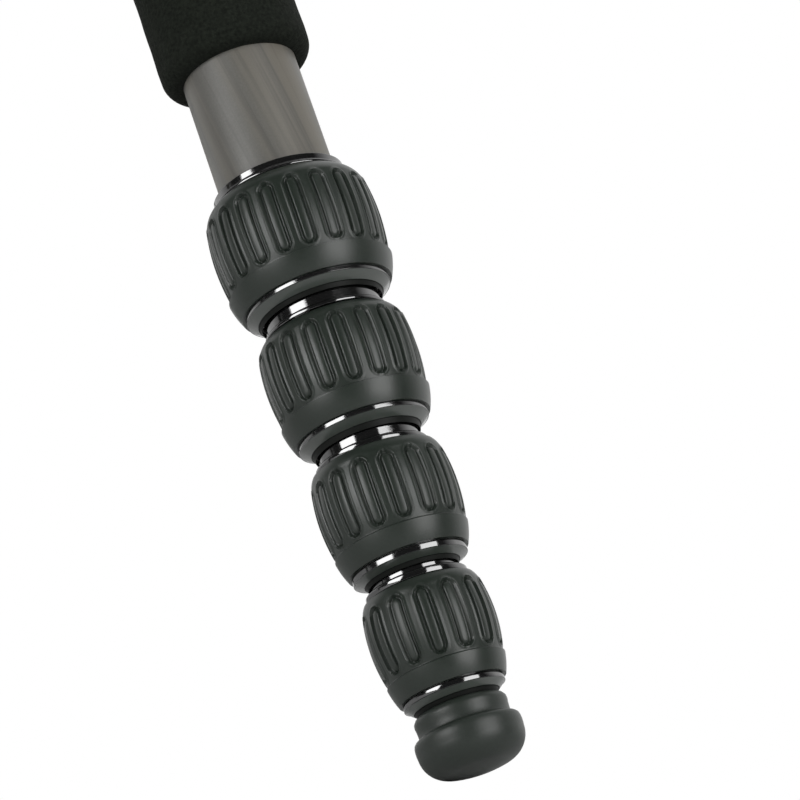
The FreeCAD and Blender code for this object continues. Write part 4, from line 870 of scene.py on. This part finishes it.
# %% Finishes: head, hub and column
CASTING, _ = new_finish(
    "satin_black_casting", (0.024, 0.024, 0.026), (0.018, 0.018, 0.02), 1300, 0.35,
    (0.34, 0.46), mark_scale=60, Specular_IOR_Level=0.5,
)
POLYMER, _ = new_finish(
    "latch_polymer", (0.03, 0.031, 0.031), (0.022, 0.023, 0.023), 1600, 0.3,
    (0.45, 0.58), mark_scale=80,
)
KNOB, _ = new_finish(
    "knob_rubber", (0.036, 0.038, 0.037), (0.028, 0.03, 0.029), 1900, 0.3,
    (0.55, 0.7), mark_scale=90,
)
STEEL, _ = new_finish(
    "turned_steel", (0.56, 0.56, 0.57), (0.48, 0.48, 0.49), 1600, 0.025,
    (0.28, 0.36), mark_scale=120, Metallic=1.0,
)
BALL, _ = new_finish(
    "hard_anodised_ball", (0.1, 0.1, 0.105), (0.085, 0.085, 0.09), 2600, 0.05,
    (0.22, 0.3), mark_scale=50, Metallic=0.8,
)
SEAT, _ = new_finish(
    "bearing_polymer", (0.6, 0.58, 0.52), (0.52, 0.5, 0.45), 1500, 0.1,
    (0.35, 0.5), mark_scale=80,
)
PADS, _ = new_finish(
    "pad_rubber", (0.036, 0.037, 0.037), (0.028, 0.029, 0.029), 1500, 0.3,
    (0.62, 0.75), mark_scale=120,
)
VIAL, _ = new_finish(
    "level_vial", (0.45, 0.62, 0.1), (0.4, 0.56, 0.08), 300, 0.02,
    (0.05, 0.1), mark_scale=100, Transmission_Weight=0.3,
)
COLUMN, _ = new_finish(
    "column_carbon", (0.05, 0.049, 0.046), (0.035, 0.034, 0.032), 2600, 0.05, (0.3, 0.42),
)

# %% [markdown]
# ## Plate pads
#
# A camera stands on two rubber pads, one on each side of the screw. Each is moulded with a plain
# rim and, inside it, a field of shallow ribs that keep the camera from turning.

# %% Plate pads
# All in metres: half the gap between the pads, how far the rim is rounded down, and the width
# and depth of the field's ridges.
PAD_LOW, PAD_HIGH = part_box("plate_pads")
PAD_GAP, PAD_EDGE = 0.0055, 0.00012
RIDGE_PITCH, RIDGE_DROP = 0.0022, 0.00035
PAD_COLUMNS, PAD_ROWS = 78, 70


def pad_height(x, y):
    """Height of a pad's top over a point: full on the rim and the ribs, lower between them."""
    rim = min(x - PAD_GAP, PAD_HIGH[0] - x, y - PAD_LOW[1], PAD_HIGH[1] - y)
    valley = 0.5 - 0.5 * math.cos(2 * math.pi * (x - PAD_GAP) / RIDGE_PITCH)
    between = RIDGE_DROP * valley ** 1.5 * ease(rim, 0.001, 0.0016)
    at_edge = PAD_EDGE * (1 - ease(rim, 0, 0.0003))
    return PAD_HIGH[2] - between - at_edge


def add_pad(mesh, side):
    """One pad as a closed form: a ribbed top, four walls and a flat underside."""
    grid = []
    for row in range(PAD_ROWS + 1):
        y = PAD_LOW[1] + (PAD_HIGH[1] - PAD_LOW[1]) * row / PAD_ROWS
        line = []
        for column in range(PAD_COLUMNS + 1):
            x = PAD_GAP + (PAD_HIGH[0] - PAD_GAP) * column / PAD_COLUMNS
            line.append(mesh.verts.new((side * x, y, pad_height(x, y))))
        grid.append(line)
    for low, high in zip(grid, grid[1:]):
        for column in range(PAD_COLUMNS):
            mesh.faces.new((low[column], low[column + 1], high[column + 1], high[column]))
    around = grid[0] + [line[-1] for line in grid[1:-1]]
    around += grid[-1][::-1] + [line[0] for line in grid[-2:0:-1]]
    below = [mesh.verts.new((vert.co.x, vert.co.y, PAD_LOW[2])) for vert in around]
    for index, vert in enumerate(around):
        after = (index + 1) % len(around)
        mesh.faces.new((vert, around[after], below[after], below[index]))
    mesh.faces.new(below)


pads_mesh = bmesh.new()
for side in (-1, 1):
    add_pad(pads_mesh, side)
bmesh.ops.recalc_face_normals(pads_mesh, faces=pads_mesh.faces)
pads = bpy.data.objects.new("ribbed_pads", bpy.data.meshes.new("ribbed_pads"))
pads_mesh.to_mesh(pads.data)
pads_mesh.free()
bpy.context.scene.collection.objects.link(pads)
activate(pads)
bpy.ops.object.shade_smooth_by_angle(angle=math.radians(40))
pads.data.materials.append(PADS)
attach(pads, "plate")
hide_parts("plate_pads")
print("pads on the plate:", len(pads.data.polygons), "faces")

# %% [markdown]
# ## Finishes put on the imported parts
#
# A part that a new piece stands for is hidden, and gets a finish all the same.

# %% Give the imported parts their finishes
FINISH_OF = {
    "apex": CASTING, "hinge_bolts": STEEL, "column_tube": COLUMN, "column_hook": STEEL,
    "column_lock": KNOB, "column_top_plate": CASTING, "head_base": CASTING, "head_body": CASTING,
    "ball_seat": SEAT, "head_ball": BALL, "head_stem": CASTING, "main_knob": KNOB,
    "friction_dial": CASTING, "pan_knob": KNOB, "clamp_body": CASTING, "bubble_level": VIAL,
    "clamp_jaw": CASTING, "clamp_knob": KNOB, "quick_release_plate": CASTING, "plate_pads": PADS,
    "camera_screw": STEEL,
}
for letter in LEGS:
    FINISH_OF[f"leg_{letter}_hinge_lug"] = CASTING
    FINISH_OF[f"leg_{letter}_angle_latch"] = POLYMER
    for section in TUBE:
        FINISH_OF[f"leg_{letter}_tube_{section}"] = CARBON[letter]
    for lock in EDGE:
        FINISH_OF[f"leg_{letter}_lock_{lock}"] = RUBBER[letter]
    FINISH_OF[f"leg_{letter}_rubber_foot"] = FOOT_RUBBER[letter]
    FINISH_OF[f"leg_{letter}_foam_grip"] = FOAM[letter]
for name, material in FINISH_OF.items():
    node = frame["nodes"][name]
    if not node.material_slots:
        node.data.materials.append(material)
    for slot in node.material_slots:
        slot.material = material
print("parts with a finish:", len(FINISH_OF), "of", len(frame["nodes"]))

# %% [markdown]
# ## Floor, backdrop and light
#
# The photograph has a plain white background, and its camera is level with the ground, looking
# up. A floor would hide the leg from there, so the floor shows only from above: its back lets
# the view through. It glows a little to the camera, which keeps it pale, and it fades into the
# white with distance. The world is white where the camera meets it. A polished part mirrors white
# at the back of the room and near black at its front. As a light the world is plain grey.

# %% Floor
# The fade runs between two distances from the tripod, in metres.
FLOOR_COLOUR = (0.86, 0.86, 0.86, 1)
FLOOR_GLOW = 0.42
FADE_FROM, FADE_TO = 0.8, 1.7

clear_selection()
bpy.ops.mesh.primitive_plane_add(size=8)
floor = bpy.context.object
floor.name = "floor"
floor_finish = bpy.data.materials.new("pale_floor")
floor_finish.use_nodes = True
tree = floor_finish.node_tree
plain = tree.nodes["Principled BSDF"]
plain.inputs["Base Color"].default_value = FLOOR_COLOUR
plain.inputs["Roughness"].default_value = 0.8
plain.inputs["Emission Color"].default_value = (1, 1, 1, 1)
eye = add_node(tree, "ShaderNodeLightPath")
glow = math_node(tree, "MULTIPLY", eye.outputs["Is Camera Ray"], FLOOR_GLOW)
tree.links.new(glow, plain.inputs["Emission Strength"])
away = add_node(tree, "ShaderNodeVectorMath", operation="LENGTH")
tree.links.new(add_node(tree, "ShaderNodeTexCoord").outputs["Object"], away.inputs[0])
fade = spread(tree, away.outputs["Value"], FADE_FROM, FADE_TO, 0, 1)
facing = add_node(tree, "ShaderNodeNewGeometry")
unseen = math_node(tree, "MAXIMUM", facing.outputs["Backfacing"], fade)
clear = add_node(tree, "ShaderNodeBsdfTransparent")
either = add_node(tree, "ShaderNodeMixShader")
tree.links.new(unseen, either.inputs["Fac"])
tree.links.new(plain.outputs["BSDF"], either.inputs[1])
tree.links.new(clear.outputs["BSDF"], either.inputs[2])
tree.links.new(either.outputs["Shader"], tree.nodes["Material Output"].inputs["Surface"])
floor.data.materials.append(floor_finish)
print("floor:", [round(side, 2) for side in floor.dimensions], "m")

# %% World
# How strong the plain grey light is. A mirror sees FRONT_SHADE at the front of the room, and it
# turns to white between two values of Y, the direction in which the camera looks.
AMBIENT = 0.235
FRONT_SHADE = 0.03
TURN_FROM, TURN_TO = -0.1, 0.45

world = bpy.data.worlds.new("studio")
bpy.context.scene.world = world
world.use_nodes = True
tree = world.node_tree
tree.nodes.clear()
ambient = add_node(tree, "ShaderNodeBackground")
ambient.inputs["Color"].default_value = (1, 1, 1, 1)
ambient.inputs["Strength"].default_value = AMBIENT
white = add_node(tree, "ShaderNodeBackground")
white.inputs["Color"].default_value = (1, 1, 1, 1)
ray = add_node(tree, "ShaderNodeLightPath")
direction = add_node(tree, "ShaderNodeSeparateXYZ")
tree.links.new(add_node(tree, "ShaderNodeTexCoord").outputs["Generated"], direction.inputs[0])
backdrop = spread(tree, direction.outputs["Y"], TURN_FROM, TURN_TO, FRONT_SHADE, 1)
straight = math_node(
    tree, "MAXIMUM", ray.outputs["Is Camera Ray"], ray.outputs["Is Transmission Ray"],
)
tree.links.new(math_node(tree, "MAXIMUM", straight, backdrop), white.inputs["Strength"])
seen = math_node(tree, "MAXIMUM", straight, ray.outputs["Is Glossy Ray"])
blend = add_node(tree, "ShaderNodeMixShader")
out = add_node(tree, "ShaderNodeOutputWorld")
tree.links.new(seen, blend.inputs["Fac"])
tree.links.new(ambient.outputs["Background"], blend.inputs[1])
tree.links.new(white.outputs["Background"], blend.inputs[2])
tree.links.new(blend.outputs["Shader"], out.inputs["Surface"])
print("world:", len(tree.nodes), "nodes, ambient light", AMBIENT)


# %% [markdown]
# ## Lamps
#
# Two soft boxes stand beside the camera. In the photograph they show as two bright blocks on
# every polished ring, and their places and sizes were found from those. A third, large and weak,
# hangs above the tripod. The first two are set out from a spot on the photographed leg, at a
# reach in millimetres below its hinge.

# %% Lamps
def soft_lamp(name, place, aim, size, power):
    """A rectangular area lamp at a place, turned to what it lights."""
    lamp = bpy.data.lights.new(name, "AREA")
    lamp.shape = "RECTANGLE"
    lamp.size, lamp.size_y = size
    lamp.energy = power
    holder = bpy.data.objects.new(name, lamp)
    bpy.context.scene.collection.objects.link(holder)
    holder.location = place
    holder.rotation_euler = (Vector(aim) - Vector(place)).to_track_quat("-Z", "Y").to_euler()


LIT_REACH = 330
middle = LEG_SPACE["a"] @ Vector((0, 0, -LIT_REACH * MM))
soft_lamp("left_softbox", middle + Vector((-0.967, -0.826, 0.27)), middle, (0.74, 0.5), 8.2)
soft_lamp("right_softbox", middle + Vector((0.81, -0.86, 0.44)), middle, (0.78, 0.92), 10.8)
soft_lamp("top_softbox", Vector((0, 0.2, 1.9)), Vector((0, 0, 0.25)), (1.6, 1.6), 4)
print("lamps:", [lamp.name for lamp in bpy.data.lights])

# %% View settings
bpy.context.scene.view_settings.view_transform = "Standard"
